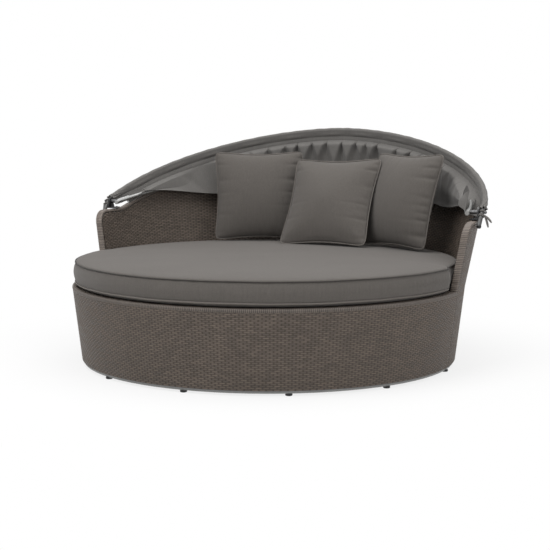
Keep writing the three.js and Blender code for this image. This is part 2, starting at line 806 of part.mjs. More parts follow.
const frontTube = tubeAlong(frontHoopLine(), tubeRadius, hoopSteps + 2 * tailSteps);
add(frontHoop, 'front_hoop', cut(frontTube, ...bothSides(frontHalfWidth)), hoopMetal);
const middleTube = tubeAlong(middleHoopLine(), tubeRadius, hoopSteps);
add(middleHoop, 'middle_hoop', cut(middleTube, ...bothSides(middleHalfWidth)), hoopMetal);

// Fixed rear hoop on the back's top edge, standing on short feet
function rearHoop() {
  const rise = rearStandoff + rearTube / 2;
  const over = (place) => wallPoint(place / rimRadius, edgeLine(place) + rise, wallThickness / 2);
  const places = evenPlaces(rearStart, halfRound - rearStart, wallSteps);
  const line = new THREE.CatmullRomCurve3(places.map(over), false, 'centripetal');
  const tube = tubeAlong(line, rearTube / 2, wallSteps);
  const margin = rearStart + rearFootLength;
  const feet = evenPlaces(margin, halfRound - margin, rearFootCount - 1).map((place) => {
    const along = over(place + seamGap).sub(over(place - seamGap)).normalize();
    const out = wallPoint(place / rimRadius, 0).normalize();
    const up = out.clone().cross(along).normalize();
    const height = rise - hiddenFit;
    const foot = new THREE.BoxGeometry(rearFootLength, rearTube / 2, height);
    const turn = new THREE.Matrix4().makeBasis(along, up.clone().cross(along), up);
    const middle = over(place).addScaledVector(up, -height / 2);
    return foot.applyMatrix4(turn).translate(middle.x, middle.y, middle.z);
  });
  return join(tube, ...feet);
}
add(daybed, 'rear_hoop', rearHoop(), aluminium);

// Pivot bracket: a foot on the wrapped edge with an upright ear, and two screw heads
const bracketRear = pivotSetback + bracketLength / 2;
const bracketRearPlace = rimRadius * angleBehind(bracketRear, endHeight);
const bracketSeat = edgeLine(Math.max(risePlace, bracketRearPlace + edgeHeight)) + hiddenFit / 2;
function pivotBracket(side) {
  const footInner = halfWidthBehind(bracketRear, endHeight) - wallThickness + edgeRound;
  const drop = pivotHeight - bracketSeat;
  const ear = new THREE.Shape();
  ear.moveTo(-bracketLength / 2, -drop);
  ear.lineTo(bracketLength / 2, -drop);
  ear.lineTo(bracketLength / 2, bracketPlate - drop);
  ear.lineTo(earReach, 0);
  ear.absarc(0, 0, earReach, 0, Math.PI, false);
  ear.lineTo(-bracketLength / 2, bracketPlate - drop);
  ear.closePath();
  const plate = new THREE.ExtrudeGeometry(ear, {
    depth: earThickness, bevelEnabled: false, curveSegments: roundSides,
  });
  const turn = new THREE.Matrix4().makeBasis(
    new THREE.Vector3(0, 1, 0), new THREE.Vector3(0, 0, 1), new THREE.Vector3(1, 0, 0));
  plate.applyMatrix4(turn).translate(side > 0 ? earInner : -earOuter, 0, 0);
  const width = earOuter - footInner;
  const middle = side * (footInner + width / 2);
  const foot = box(width, bracketLength, bracketPlate, middle, 0, bracketPlate / 2 - drop);
  const screwPlace = side * (footInner + width / 3);
  const screws = [-1, 1].map((end) => {
    const head = new THREE.CylinderGeometry(screwHeadTop, screwHeadRadius, 2 * screwHeadHeight, roundSides);
    const place = bracketLength / 2 - 2 * screwHeadRadius;
    return head.rotateX(Math.PI / 2).translate(screwPlace, end * place, bracketPlate - drop);
  });
  const hole = pivotHole(side * (earInner - hoopTube), side * (earOuter + hoopTube));
  return cut(join(plate, foot, ...screws), hole);
}

const middleSlant = tubeCorner / Math.cos(middleTilt);
const spacerInner = middleHalfWidth + middleSlant + spacerRadius * Math.tan(middleTilt) + fit;
// Turned piece on the pivot axis. Its profile is given as (radius, distance out from the middle).
function alongX(profile, side) {
  return new THREE.LatheGeometry(profile, roundSides).rotateZ((-side * Math.PI) / 2);
}

function spacer(side) {
  const profile = [
    new THREE.Vector2(boltRadius + boltPlay, spacerInner),
    new THREE.Vector2(spacerRadius, spacerInner),
    new THREE.Vector2(spacerRadius, earInner - fit),
    new THREE.Vector2(boltRadius + boltPlay, earInner - fit),
    new THREE.Vector2(boltRadius + boltPlay, spacerInner),
  ];
  return alongX(profile, side);
}

// Domed bolt through the middle hoop, spacer, ear and front hoop
const boltHeadFace = middleHalfWidth - middleSlant - nutRadius * Math.tan(middleTilt) - fit;
const nutFace = frontHalfWidth + tubeCorner + washerGap;
function pivotBolt(side) {
  const profile = [
    new THREE.Vector2(0, boltHeadFace - boltHeadHeight),
    new THREE.Vector2(nutRadius / 2, boltHeadFace - boltHeadHeight),
    new THREE.Vector2(nutRadius, boltHeadFace - boltHeadHeight / 2),
    new THREE.Vector2(nutRadius, boltHeadFace),
    new THREE.Vector2(boltRadius, boltHeadFace),
    new THREE.Vector2(boltRadius, nutFace + boltOverrun),
    new THREE.Vector2(0, nutFace + boltOverrun),
  ];
  return alongX(profile, side);
}

function capNut(side) {
  const inner = boltRadius + boltPlay;
  const profile = [
    new THREE.Vector2(0, nutFace + boltOverrun + fit),
    new THREE.Vector2(inner, nutFace + boltOverrun + fit),
    new THREE.Vector2(inner, nutFace),
    new THREE.Vector2(nutRadius, nutFace),
    new THREE.Vector2(nutRadius, nutFace + nutHeight),
    new THREE.Vector2(nutRadius / 2, nutFace + nutHeight + nutDome),
    new THREE.Vector2(0, nutFace + nutHeight + nutDome),
  ];
  return alongX(profile, side);
}

// Plastic cap over the end of a front hoop leg
function tailCap(side) {
  const profile = [
    new THREE.Vector2(0, fit),
    new THREE.Vector2(tubeRadius + capProud, fit),
    new THREE.Vector2(tubeRadius + capProud, capLength),
    new THREE.Vector2(tubeRadius - capProud, capLength + capProud),
    new THREE.Vector2(0, capLength + capProud),
  ];
  const cap = new THREE.LatheGeometry(profile, roundSides).rotateX(Math.PI).rotateX(tailDrop);
  const end = new THREE.Vector3(0, -Math.cos(tailDrop), -Math.sin(tailDrop)).multiplyScalar(tailLength);
  return cap.translate(side * frontHalfWidth, end.y, end.z);
}

// Tie knotted round a front hoop leg, with its free end hanging outside. The left one mirrors the right one.
const tieTurn = archTurn(sleeveStart - tieWidth);
function tie(side) {
  const inner = tubeRadius + 2 * clothPlay;
  const outer = inner + tieThickness;
  const profile = [
    new THREE.Vector2(inner, -tieWidth / 2),
    new THREE.Vector2(outer, -tieWidth / 2),
    new THREE.Vector2(outer, tieWidth / 2),
    new THREE.Vector2(inner, tieWidth / 2),
    new THREE.Vector2(inner, -tieWidth / 2),
  ];
  const ring = new THREE.LatheGeometry(profile, roundSides);
  const end = box(tieThickness, tieWidth, tieTail, outer - tieThickness / 2, 0, -tieTail / 2);
  end.rotateX(-frontIncline);
  const knot = new THREE.SphereGeometry(tieWidth / 2, roundSides, roundSides / 2).translate(outer, 0, 0);
  const bore = new THREE.CylinderGeometry(inner, inner, 2 * tieTail, roundSides);
  const spot = frontArch(tieTurn);
  const along = frontArch(tieTurn + tieTurnStep).sub(frontArch(tieTurn - tieTurnStep));
  const turned = cut(join(ring, end, knot), bore).rotateZ(Math.atan2(-along.x, along.y));
  const right = turned.translate(spot.x, spot.y, 0);
  return side > 0 ? right : faceOut(right.scale(-1, 1, 1));
}

for (const [name, side] of [['right', 1], ['left', -1]]) {
  add(pivots, `${name}_pivot_bracket`, pivotBracket(side), blackSteel);
  add(pivots, `${name}_spacer`, spacer(side), zincSteel);
  add(pivots, `${name}_pivot_bolt`, pivotBolt(side), zincSteel);
  add(pivots, `${name}_cap_nut`, capNut(side), zincSteel);
  add(frontHoop, `${name}_hoop_cap`, tailCap(side), blackPlastic);
  add(frontHoop, `${name}_canopy_tie`, tie(side), cloth);
}

// Canopy cloth

// Pocket of cloth round a hoop, with an optional doubled flap hanging square to the hoop's plane
function sleeve(arch, from, to, steps, flap) {
  const places = evenPlaces(from, to, steps).map(arch);
  const opening = flap ? Math.asin(clothThickness / sleeveRadius) : 0;
  const outline = [];
  for (let k = 0; k < sleeveSides; k++) {
    const span = flap ? k / (sleeveSides - 1) : k / sleeveSides;
    const angle = -Math.PI / 2 + opening + (2 * Math.PI - 2 * opening) * span;
    outline.push(new THREE.Vector2(sleeveRadius * Math.cos(angle), sleeveRadius * Math.sin(angle)));
  }
  if (flap) {
    outline.push(new THREE.Vector2(-clothThickness / 2, -flap));
    outline.push(new THREE.Vector2(clothThickness / 2, -flap));
  }
  const frameAt = (i) => {
    const before = places[Math.max(i - 1, 0)];
    const after = places[Math.min(i + 1, steps)];
    const along = after.clone().sub(before).normalize();
    return new THREE.Vector3(along.y, -along.x, 0);
  };
  const placeAt = (i, point) => places[i].clone().addScaledVector(frameAt(i), point.x).setZ(point.y);
  const body = loft(places.length, () => outline, placeAt);
  const play = tubeRadius + clothPlay;
  const stretch = (to - from) / steps / 4;
  const boreOutline = circleShape(play, tubeSides).getPoints(1).slice(0, tubeSides);
  const borePlaces = [arch(from - stretch), ...places.slice(1, -1), arch(to + stretch)];
  const boreAt = (i, point) => borePlaces[i].clone().addScaledVector(frameAt(i), point.x).setZ(point.y);
  return cut(body, loft(borePlaces.length, () => boreOutline, boreAt));
}

const sleeveTurn = archTurn(sleeveStart);
const frontSleeve = sleeve(frontArch, sleeveTurn, Math.PI - sleeveTurn, hoopSteps, flapLength);
add(frontHoop, 'canopy_front_sleeve', frontSleeve, cloth);
const middleStartTurn = Math.asin((pivotSetback + middleSleeveStart) / droopRadius) - droopTilt;
const middleStartShare = middleStartTurn / (Math.PI - 2 * droopTilt);
const middleSleeve = sleeve(middleArch, middleStartShare, 1 - middleStartShare, middleSleeveSteps, 0);
add(middleHoop, 'canopy_middle_sleeve', middleSleeve, cloth);

// The rear panel's two faces, as depths into the wall
const rearPanelOuter = wallThickness + edgeProud + rearPanelGap;
const rearPanelInner = rearPanelOuter + clothThickness;

// Front panel: hangs slack from the front sleeve's flap, inside the middle hoop, in folds bulging inwards
function keepInside(spot, dropShare) {
  const plan = new THREE.Vector2(spot.x, spot.y + pivotSetback);
  const settledShare = THREE.MathUtils.smoothstep(dropShare, 0, 1 / curtainRows);
  const inside = radiusAt(spot.z + pivotHeight) - wallThickness - middleClearance - sleeveRadius - clothGap;
  plan.clampLength(0, THREE.MathUtils.lerp(plan.length(), Math.min(inside, plan.length()), settledShare));
  return spot.set(plan.x, plan.y - pivotSetback, spot.z);
}

function frontPanel() {
  const hang = flapLength + clothGap;
  const placeAt = (i, j, side) => {
    const share = i / curtainColumns;
    const turn = curtainTurn + (Math.PI - 2 * curtainTurn) * share;
    const high = frontArch(turn).setZ(-hang).applyAxisAngle(new THREE.Vector3(1, 0, 0), frontIncline);
    const low = droopArch(turn / Math.PI).setZ(sleeveRadius + clothGap);
    const dropShare = j / curtainRows;
    const spot = keepInside(high.lerp(low, dropShare), dropShare);
    const inward = new THREE.Vector3(-spot.x, -spot.y - pivotSetback, 0).normalize();
    const drift = foldDrift * dropShare * Math.sin(2 * Math.PI * foldDriftWaves * share);
    const wave = 0.5 - 0.5 * Math.cos(2 * Math.PI * foldCount * (share + drift));
    const fold = foldDepth * wave * Math.sin(Math.PI * dropShare) ** foldSharpness;
    return spot.addScaledVector(inward, fold + (side ? clothThickness : 0));
  };
  return slab(curtainColumns, curtainRows, placeAt);
}
add(pivots, 'canopy_front_panel', frontPanel(), cloth);

// Rear panel: lies against the back from the fixed rear hoop down to the middle hoop
function rearPanelBottom(place) {
  const hoop = middleArchAt(place / rimRadius);
  return pivotHeight + hoop.y * Math.sin(middleIncline) + sleeveRadius + clothGap;
}
function rearPanelStart() {
  let place = rearStart;
  while (edgeLine(place) < rearPanelBottom(place) + flapLength / 3) place += seamGap;
  return place;
}
const rearPanelPlace = rearPanelStart();
add(daybed, 'canopy_rear_panel', wallSheet({
  places: evenPlaces(rearPanelPlace, halfRound - rearPanelPlace, wallSteps),
  bottom: rearPanelBottom,
  top: (place) => edgeLine(place) + rearStandoff + rearTube / 2,
  outer: rearPanelOuter,
  inner: rearPanelInner,
}), cloth);

// Scatter cushions, leaning back inside the canopy cloth
const pillowBack = droopRadius - sleeveRadius - foldDepth - clothThickness - pillowGap;
const pillowFloor = cushionTop + cushionCrown + hiddenFit;
function addPillow(name, { placeShare, turnShare, leanDegrees }, forward) {
  const lean = THREE.MathUtils.degToRad(leanDegrees);
  const depth = (pillowSize * Math.sin(lean) + pillowThickness * Math.cos(lean)) / 2;
  const reach = pillowBack - depth - forward;
  const angle = (placeShare * pillowSize) / reach;
  const stand = new THREE.Group();
  stand.position.set(reach * Math.sin(angle), reach * Math.cos(angle), pillowFloor);
  stand.rotation.order = 'ZXY';
  stand.rotation.z = -angle * turnShare;
  stand.rotation.x = -lean;
  daybed.add(stand);
  add(stand, name, pillow(), cloth);
}
addPillow('left_scatter_cushion', leftPillow, leftPillowForward);
addPillow('middle_scatter_cushion', middlePillow, middlePillowForward);
addPillow('right_scatter_cushion', rightPillow, rightPillowForward);

export default daybed;
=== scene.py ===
"""Looks of a round woven outdoor daybed with a folding canopy, modelled round its fixed frame."""

import json
import math

import bpy
import numpy as np
from bpy.props import FloatProperty, FloatVectorProperty, IntProperty, PointerProperty
from mathutils import Matrix, Vector


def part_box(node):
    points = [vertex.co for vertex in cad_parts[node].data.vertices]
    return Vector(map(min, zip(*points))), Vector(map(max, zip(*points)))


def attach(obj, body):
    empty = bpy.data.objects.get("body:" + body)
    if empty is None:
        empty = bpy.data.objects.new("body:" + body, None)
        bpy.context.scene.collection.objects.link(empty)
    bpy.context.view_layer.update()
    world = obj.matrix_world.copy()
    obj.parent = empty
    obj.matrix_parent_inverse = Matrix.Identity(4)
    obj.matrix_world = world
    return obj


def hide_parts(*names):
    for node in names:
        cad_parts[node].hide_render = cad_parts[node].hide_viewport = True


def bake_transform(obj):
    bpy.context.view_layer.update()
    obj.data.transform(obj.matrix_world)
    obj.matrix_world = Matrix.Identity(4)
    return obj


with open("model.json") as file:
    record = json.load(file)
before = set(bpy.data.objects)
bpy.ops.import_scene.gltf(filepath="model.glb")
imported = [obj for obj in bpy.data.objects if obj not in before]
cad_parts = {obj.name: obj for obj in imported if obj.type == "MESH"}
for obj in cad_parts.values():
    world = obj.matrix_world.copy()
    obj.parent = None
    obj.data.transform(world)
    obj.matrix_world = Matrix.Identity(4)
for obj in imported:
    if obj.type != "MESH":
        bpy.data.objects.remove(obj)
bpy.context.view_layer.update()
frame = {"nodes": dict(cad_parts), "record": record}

bl_info = {
    "name": "Woven Daybed",
    "version": (1, 0, 0),
    "blender": (4, 5, 0),
    "location": "View3D > Sidebar > Daybed",
    "description": "Builds a round woven outdoor daybed with cushions and a folding canopy",
    "category": "Add Mesh",
}

TURN = 2 * math.pi
RIBS = 3

# The woven body, in metres. These repeat the sizes of its frame.
RIM_RADIUS = 0.9
RIM_HEIGHT = 0.362
FOOT_INSET = 0.043
END_RISE = 0.3
END_FLARE = 0.05
BACK_RISE = 0.583
BACK_FLARE = 0.14
END_SETBACK = 0.0185
RISE_START = 0.2
RISE_SOFTENING = 0.02
CORNER = 0.062
WALL = 0.03
SKIN = 0.004
SEAM_GAP = 0.002
WEAVE_BOTTOM = 0.022
ROLL_HEIGHT = 0.018
EDGE_HEIGHT = 0.014
EDGE_PROUD = 0.0015
HALF_ROUND = math.pi * RIM_RADIUS
DECK_TOP = RIM_HEIGHT

# The canopy's pivot axis and hoops. The front one's crown stands above the back and a little inside its top.
PIVOT_Y = 0.17
PIVOT_Z = 0.70
PIVOT = np.array([0.0, PIVOT_Y, PIVOT_Z])
CROWN_SETBACK = 0.041
CROWN_LIFT = 0.104
FRONT_REACH = RIM_RADIUS + BACK_FLARE - PIVOT_Y - CROWN_SETBACK
FRONT_INCLINE = math.asin((RIM_HEIGHT + BACK_RISE + CROWN_LIFT - PIVOT_Z) / FRONT_REACH)
MIDDLE_INCLINE = math.radians(10)
MIDDLE_INSET = WALL + 0.022
ARCH_FULLNESS = 1.8
SETTLING_ROUNDS = 12
TUBE = 0.01
TAIL_DROP = math.radians(24)
TAIL_LENGTH = 0.075
REAR_HOOP_START = 0.245
REAR_HOOP_LIFT = 0.014
# The frame's hoop is eight-sided, so its corners stand out past the round tube.
FRONT_HALF_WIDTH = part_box("front_hoop")[1].x - TUBE / math.cos(math.pi / 8)

# The canopy's cloth: its pockets, and the doubled flap that hangs inwards by a share of its drop
SLEEVE = 0.0135
SLEEVE_END = 0.02
SLEEVE_CLOTH = 0.0012
SLEEVE_CLEARANCE = 0.004
FLAP = 0.048
FLAP_SEAM = 0.027
HANG = 0.46


# Shapes of the body, on arrays of angles, heights and places along the rim circle

def radius_at(z, angle):
    """Radius of the wall's outer face."""
    behind = np.sin(angle) * (2 - np.sin(angle))
    flare = END_FLARE / END_RISE + (BACK_FLARE / BACK_RISE - END_FLARE / END_RISE) * behind
    below = RIM_RADIUS - FOOT_INSET / RIM_HEIGHT * (RIM_HEIGHT - z)
    return np.where(z < RIM_HEIGHT, below, RIM_RADIUS + flare * (z - RIM_HEIGHT))


def wall_point(place, z, depth=0.0):
    """Point of the wall at a place along the rim circle, a height and a depth in from its outer face."""
    angle = place / RIM_RADIUS
    behind = np.where(angle < 0, 0.0, angle)
    lean = END_SETBACK * np.maximum(0, z - RIM_HEIGHT) / END_RISE * np.cos(angle) / RIM_RADIUS
    radius = radius_at(z, behind) - depth
    return np.stack([radius * np.cos(angle + lean), radius * np.sin(angle + lean), z + 0 * radius], -1)


def soft_rise(share):
    return 0.5 * (share + np.hypot(share, RISE_SOFTENING))


def top_line(place):
    """Height of the back's top line: level over the two ends, then rising to the back."""
    start = RISE_START / (RIM_RADIUS + END_FLARE)
    rise = soft_rise(np.sin(place / RIM_RADIUS) - start) / soft_rise(1 - start)
    return RIM_HEIGHT + END_RISE + (BACK_RISE - END_RISE) * rise


def edge_line(place, inset=0.0):
    """The top line with its two rounded corners, moved inwards by an inset."""
    step = 0.001
    slope = (top_line(place + step) - top_line(place - step)) / (2 * step)
    corner = CORNER - inset
    from_end = np.minimum(place, HALF_ROUND - place) - inset
    level = top_line(place) - inset * np.hypot(1, slope)
    rounding = np.sqrt(np.maximum(0, corner**2 - (corner - from_end) ** 2))
    return np.where(from_end >= corner, level, level - corner + rounding)


def ease(share):
    share = np.clip(share, 0, 1)
    return share * share * (3 - 2 * share)


def bow(value):
    return np.sign(value) * np.abs(value) ** (2 / ARCH_FULLNESS)


def in_hoop(x, reach, rise, incline):
    """Point of an inclined hoop: across, out from the pivots, and square to the hoop's plane."""
    y = PIVOT_Y + reach * math.cos(incline) - rise * math.sin(incline)
    z = PIVOT_Z + reach * math.sin(incline) + rise * math.cos(incline)
    return np.stack([x + 0 * reach, y, z], -1)


def front_arch(turn):
    """Front hoop's arch in its own plane, from the right pivot (0) to the left one (pi)."""
    return FRONT_HALF_WIDTH * bow(np.cos(turn)), FRONT_REACH * bow(np.sin(turn))


def arch_turn(out):
    """Turn at which the front arch is this far out from the pivots."""
    return math.asin((out / FRONT_REACH) ** (ARCH_FULLNESS / 2))


def tail(side, along):
    """Points of the front hoop's straight tail, at distances from its pivot."""
    x = side * FRONT_HALF_WIDTH + 0 * along
    return in_hoop(x, -along * math.cos(TAIL_DROP), -along * math.sin(TAIL_DROP), FRONT_INCLINE)


def middle_arch(angle):
    """Middle hoop's arch in its own plane, at an angle round the body, clear of the wall."""
    angle = np.asarray(angle, float)
    reach = np.zeros_like(angle)
    for _ in range(SETTLING_ROUNDS):
        height = PIVOT_Z + reach * math.sin(MIDDLE_INCLINE)
        radius = radius_at(height, np.clip(angle, 0, math.pi)) - MIDDLE_INSET
        reach = (radius * np.sin(angle) - PIVOT_Y) / math.cos(MIDDLE_INCLINE)
    return radius * np.cos(angle), reach


# Modelling

def deselect():
    if bpy.context.object and bpy.context.object.mode != "OBJECT":
        bpy.ops.object.mode_set(mode="OBJECT")
    bpy.ops.object.select_all(action="DESELECT")


def only(*objects):
    """Selects these objects and nothing else. The first is the active one."""
    deselect()
    for one in objects:
        one.select_set(True)
    bpy.context.view_layer.objects.active = objects[0]
    return objects[0]


def named(name):
    piece = bpy.context.object
    piece.name = piece.data.name = name
    return piece


def points_of(piece):
    points = np.zeros(len(piece.data.vertices) * 3)
    piece.data.vertices.foreach_get("co", points)
    return points.reshape(-1, 3)


def set_points(piece, points):
    piece.data.vertices.foreach_set("co", np.asarray(points, float).ravel())
    piece.data.update()
    return piece


def mesh_edit(piece, *steps):
    """Runs edit-mode operators on the whole of a piece."""
    only(piece)
    bpy.ops.object.mode_set(mode="EDIT")
    bpy.ops.mesh.select_all(action="SELECT")
    for step in steps:
        step()
    bpy.ops.object.mode_set(mode="OBJECT")
    return piece


def merge(distance=1e-5):
    return lambda: bpy.ops.mesh.remove_doubles(threshold=distance)


def outwards():
    bpy.ops.mesh.normals_make_consistent(inside=False)


def close_ends():
    """Fills the open ends of a swept piece."""
    bpy.ops.mesh.select_all(action="DESELECT")
    bpy.ops.mesh.select_non_manifold(extend=False, use_wire=False, use_multi_face=False,
                                     use_non_contiguous=False, use_verts=False)
    bpy.ops.mesh.edge_face_add()
    bpy.ops.mesh.select_all(action="SELECT")


def laid(name, columns, rows, place, uv_size=(1.0, 1.0)):
    """Grid laid on a surface by place(u, v), with u and v from 0 to 1 and its UV map in metres."""
    deselect()
    bpy.ops.mesh.primitive_grid_add(x_subdivisions=columns, y_subdivisions=rows, size=1, calc_uvs=True)
    piece = named(name)
    flat = points_of(piece)
    u = np.round((flat[:, 0] + 0.5) * columns) / columns
    v = np.round((flat[:, 1] + 0.5) * rows) / rows
    loops = np.zeros(len(piece.data.loops), int)
    piece.data.loops.foreach_get("vertex_index", loops)
    uv = np.stack([u[loops] * uv_size[0], v[loops] * uv_size[1]], -1)
    piece.data.uv_layers.active.data.foreach_set("uv", uv.ravel())
    return set_points(piece, place(u, v))


def smooth(piece, degrees=40):
    only(piece)
    bpy.ops.object.shade_smooth_by_angle(angle=math.radians(degrees))
    return piece


def modified(piece, kind, **settings):
    """Adds a modifier with these settings and applies it."""
    only(piece)
    modifier = piece.modifiers.new(kind.title(), kind)
    for key, value in settings.items():
        setattr(modifier, key, value)
    bpy.ops.object.modifier_apply(modifier=modifier.name)
    return piece


def thickened(piece, thickness, offset=-1.0):
    return modified(piece, "SOLIDIFY", thickness=thickness, offset=offset, use_even_offset=False)


def joined(name, *pieces):
    if len(pieces) > 1:
        only(*pieces)
        bpy.ops.object.join()
    piece = pieces[0]
    piece.name = piece.data.name = name
    return piece


def copied(piece, name):
    """Copy of a piece with its own mesh."""
    twin = piece.copy()
    twin.data = piece.data.copy()
    twin.name = twin.data.name = name
    bpy.context.collection.objects.link(twin)
    return twin


def frames_along(path, closed=False):
    """Across and up directions along a path, turned no more than the path turns."""
    before = np.roll(path, 1, 0)
    after = np.roll(path, -1, 0)
    if not closed:
        before[0], after[-1] = path[0], path[-1]
    along = after - before
    along /= np.linalg.norm(along, axis=1)[:, None]
    across = np.zeros_like(path)
    side = np.cross(along[0], [0, 0, 1.0])
    if np.linalg.norm(side) < 0.1:
        side = np.cross(along[0], [0, 1.0, 0])
    for i, direction in enumerate(along):
        side = side - direction * side.dot(direction)
        side /= np.linalg.norm(side)
        across[i] = side
    return across, np.cross(across, along)


def tube(name, path, radius, sides=20, closed=False):
    """Round tube along a path of points. The radius is one number or one for each point."""
    path = np.asarray(path, float)
    radius = np.broadcast_to(radius, len(path))
    across, up = frames_along(path, closed)
    steps = len(path) if closed else len(path) - 1
    lengths = np.linalg.norm(np.diff(path, axis=0), axis=1).sum()

    def place(u, v):
        i = np.round(u * steps).astype(int) % len(path)
        turn = TURN * v
        return path[i] + radius[i, None] * (across[i] * np.cos(turn)[:, None] + up[i] * np.sin(turn)[:, None])

    piece = laid(name, steps, sides, place, (lengths, TURN * float(radius.mean())))
    mesh_edit(piece, merge(), *([] if closed else [close_ends]), outwards)
    return smooth(piece)


def lathe(name, profile, sides=28):
    """Turned piece about Z from a profile of (radius, height) points, closed at both ends."""
    deselect()
    bpy.ops.mesh.primitive_circle_add(vertices=sides, radius=1, fill_type="NOTHING")
    piece = named(name)
    circle = points_of(piece)
    only(piece)
    first_radius, first_height = profile[0]
    set_points(piece, circle * [first_radius, first_radius, 0] + [0, 0, first_height])
    for radius, height in profile[1:]:
        bpy.ops.object.mode_set(mode="EDIT")
        bpy.ops.mesh.extrude_region_move()
        bpy.ops.object.mode_set(mode="OBJECT")
        points = points_of(piece)
        points[-sides:] = circle * [radius, radius, 0] + [0, 0, height]
        set_points(piece, points)
    mesh_edit(piece, close_ends, merge(), outwards)
    return smooth(piece, 35)


def moved(piece, matrix):
    piece.data.transform(matrix)
    return piece


# Materials

WHITE = (1.0, 1.0, 1.0, 1.0)
BLACK = (0.0, 0.0, 0.0, 1.0)
# Sockets of a Mix node that mixes colours, by number because their names repeat
MIX_SHARE, MIX_FIRST, MIX_SECOND, MIXED_COLOUR = 0, 6, 7, 2


class Value:
    """Output of a node, with Python's operators as its Math nodes."""

    def __init__(self, maker, socket):
        self.maker = maker
        self.socket = socket

    def other(self, output):
        """Another output of the same node."""
        return Value(self.maker, self.socket.node.outputs[output])

    def math(self, operation, *values):
        return self.maker.node("ShaderNodeMath", {"operation": operation}, (self, *values))

    def __add__(self, other):
        return self.math("ADD", other)

    __radd__ = __add__

    def __sub__(self, other):
        return self.math("SUBTRACT", other)

    def __rsub__(self, other):
        return self.maker.node("ShaderNodeMath", {"operation": "SUBTRACT"}, (other, self))

    def __mul__(self, other):
        return self.math("MULTIPLY", other)

    __rmul__ = __mul__

    def __truediv__(self, other):
        return self.math("DIVIDE", other)

    def floor(self):
        return self.math("FLOOR")

    def fract(self):
        return self.math("FRACT")

    def sin(self):
        return self.math("SINE")

    def abs(self):
        return self.math("ABSOLUTE")

    def at_most(self, high):
        return self.math("MINIMUM", high)

    def within(self, low, high):
        """0 below low, 1 above high, smooth between."""
        return self.maker.node("ShaderNodeMapRange", {"interpolation_type": "SMOOTHSTEP"},
                               {"Value": self, "From Min": low, "From Max": high})


class NodeMaker:
    """Builds the nodes of a material or of the world from expressions."""

    def __init__(self, tree):
        self.nodes = tree.nodes
        self.links = tree.links

    def node(self, kind, settings=None, values=(), output=0):
        """Adds a node: its settings first, then the values or links of its sockets."""
        made = self.nodes.new(kind)
        for key, value in (settings or {}).items():
            setattr(made, key, value)
        pairs = values.items() if isinstance(values, dict) else enumerate(values)
        for key, value in pairs:
            socket = made.inputs[key]
            if isinstance(value, Value):
                self.links.new(value.socket, socket)
            else:
                socket.default_value = value
        return Value(self, made.outputs[output])

    def seen(self):
        """1 on rays from the camera and on those that glossy and clear surfaces send on, 0 on the rest."""
        rays = self.node("ShaderNodeLightPath", output="Is Camera Ray")
        return (rays + rays.other("Is Glossy Ray") + rays.other("Is Transmission Ray")).at_most(1.0)

    def mix_shader(self, share, first, second, target):
        """Mixes two shaders into the surface of a material or of the world."""
        mixed = self.node("ShaderNodeMixShader", values=(share, first, second))
        self.links.new(mixed.socket, self.nodes[target].inputs["Surface"])


class Finish(NodeMaker):
    """Material built from expressions."""

    def __init__(self, name, roughness=0.5, metallic=0.0, **constants):
        self.material = bpy.data.materials.new(f"daybed_{name}")
        self.material.use_nodes = True
        super().__init__(self.material.node_tree)
        self.shader = self.nodes["Principled BSDF"]
        for key, value in {"Roughness": roughness, "Metallic": metallic, **constants}.items():
            self.shader.inputs[key.replace("_", " ")].default_value = value

    def object_point(self):
        return self.node("ShaderNodeTexCoord", output="Object")

    def surface(self):
        """U and V of the piece's own map, in metres."""
        split = self.node("ShaderNodeSeparateXYZ", values=(self.node("ShaderNodeTexCoord", output="UV"),))
        return split, split.other("Y")

    def joined(self, x, y, z=0.0):
        return self.node("ShaderNodeCombineXYZ", values=(x, y, z))

    def noise(self, vector, scale, detail=2.0, roughness=0.5):
        return self.node("ShaderNodeTexNoise", values={
            "Vector": vector, "Scale": scale, "Detail": detail, "Roughness": roughness})

    def streaks(self, stretch, scale, detail=2.0):
        """Noise drawn out along each axis whose share is small."""
        stretched = self.node("ShaderNodeMapping", values={"Vector": self.object_point(), "Scale": stretch})
        return self.noise(stretched, scale, detail)

    def random(self, vector):
        return self.node("ShaderNodeTexWhiteNoise", {"noise_dimensions": "2D"}, {"Vector": vector})

    def mix(self, share, first, second):
        """Colour between two colours."""
        return self.node("ShaderNodeMix", {"data_type": "RGBA"},
                         {MIX_SHARE: share, MIX_FIRST: first, MIX_SECOND: second}, MIXED_COLOUR)

    def shaded(self, colour, share):
        """The colour times a grey share."""
        return self.mix(share, BLACK, colour)

    def set(self, **links):
        for key, value in links.items():
            self.links.new(value.socket, self.shader.inputs[key.replace("_", " ")])

    def bump(self, height, distance, strength=1.0):
        self.set(Normal=self.node("ShaderNodeBump", values={
            "Strength": strength, "Distance": distance, "Height": height}))


def linear(colour, share=1.0):
    """Scene-linear colour with alpha, lighter or darker by a share."""
    return (*(min(1.0, c * share) for c in colour[:3]), 1.0)


def ribbed(run, pitch):
    """Fine ribs that run along each strand."""
    return (run * (TURN / pitch * RIBS)).sin() * 0.5 + 0.5


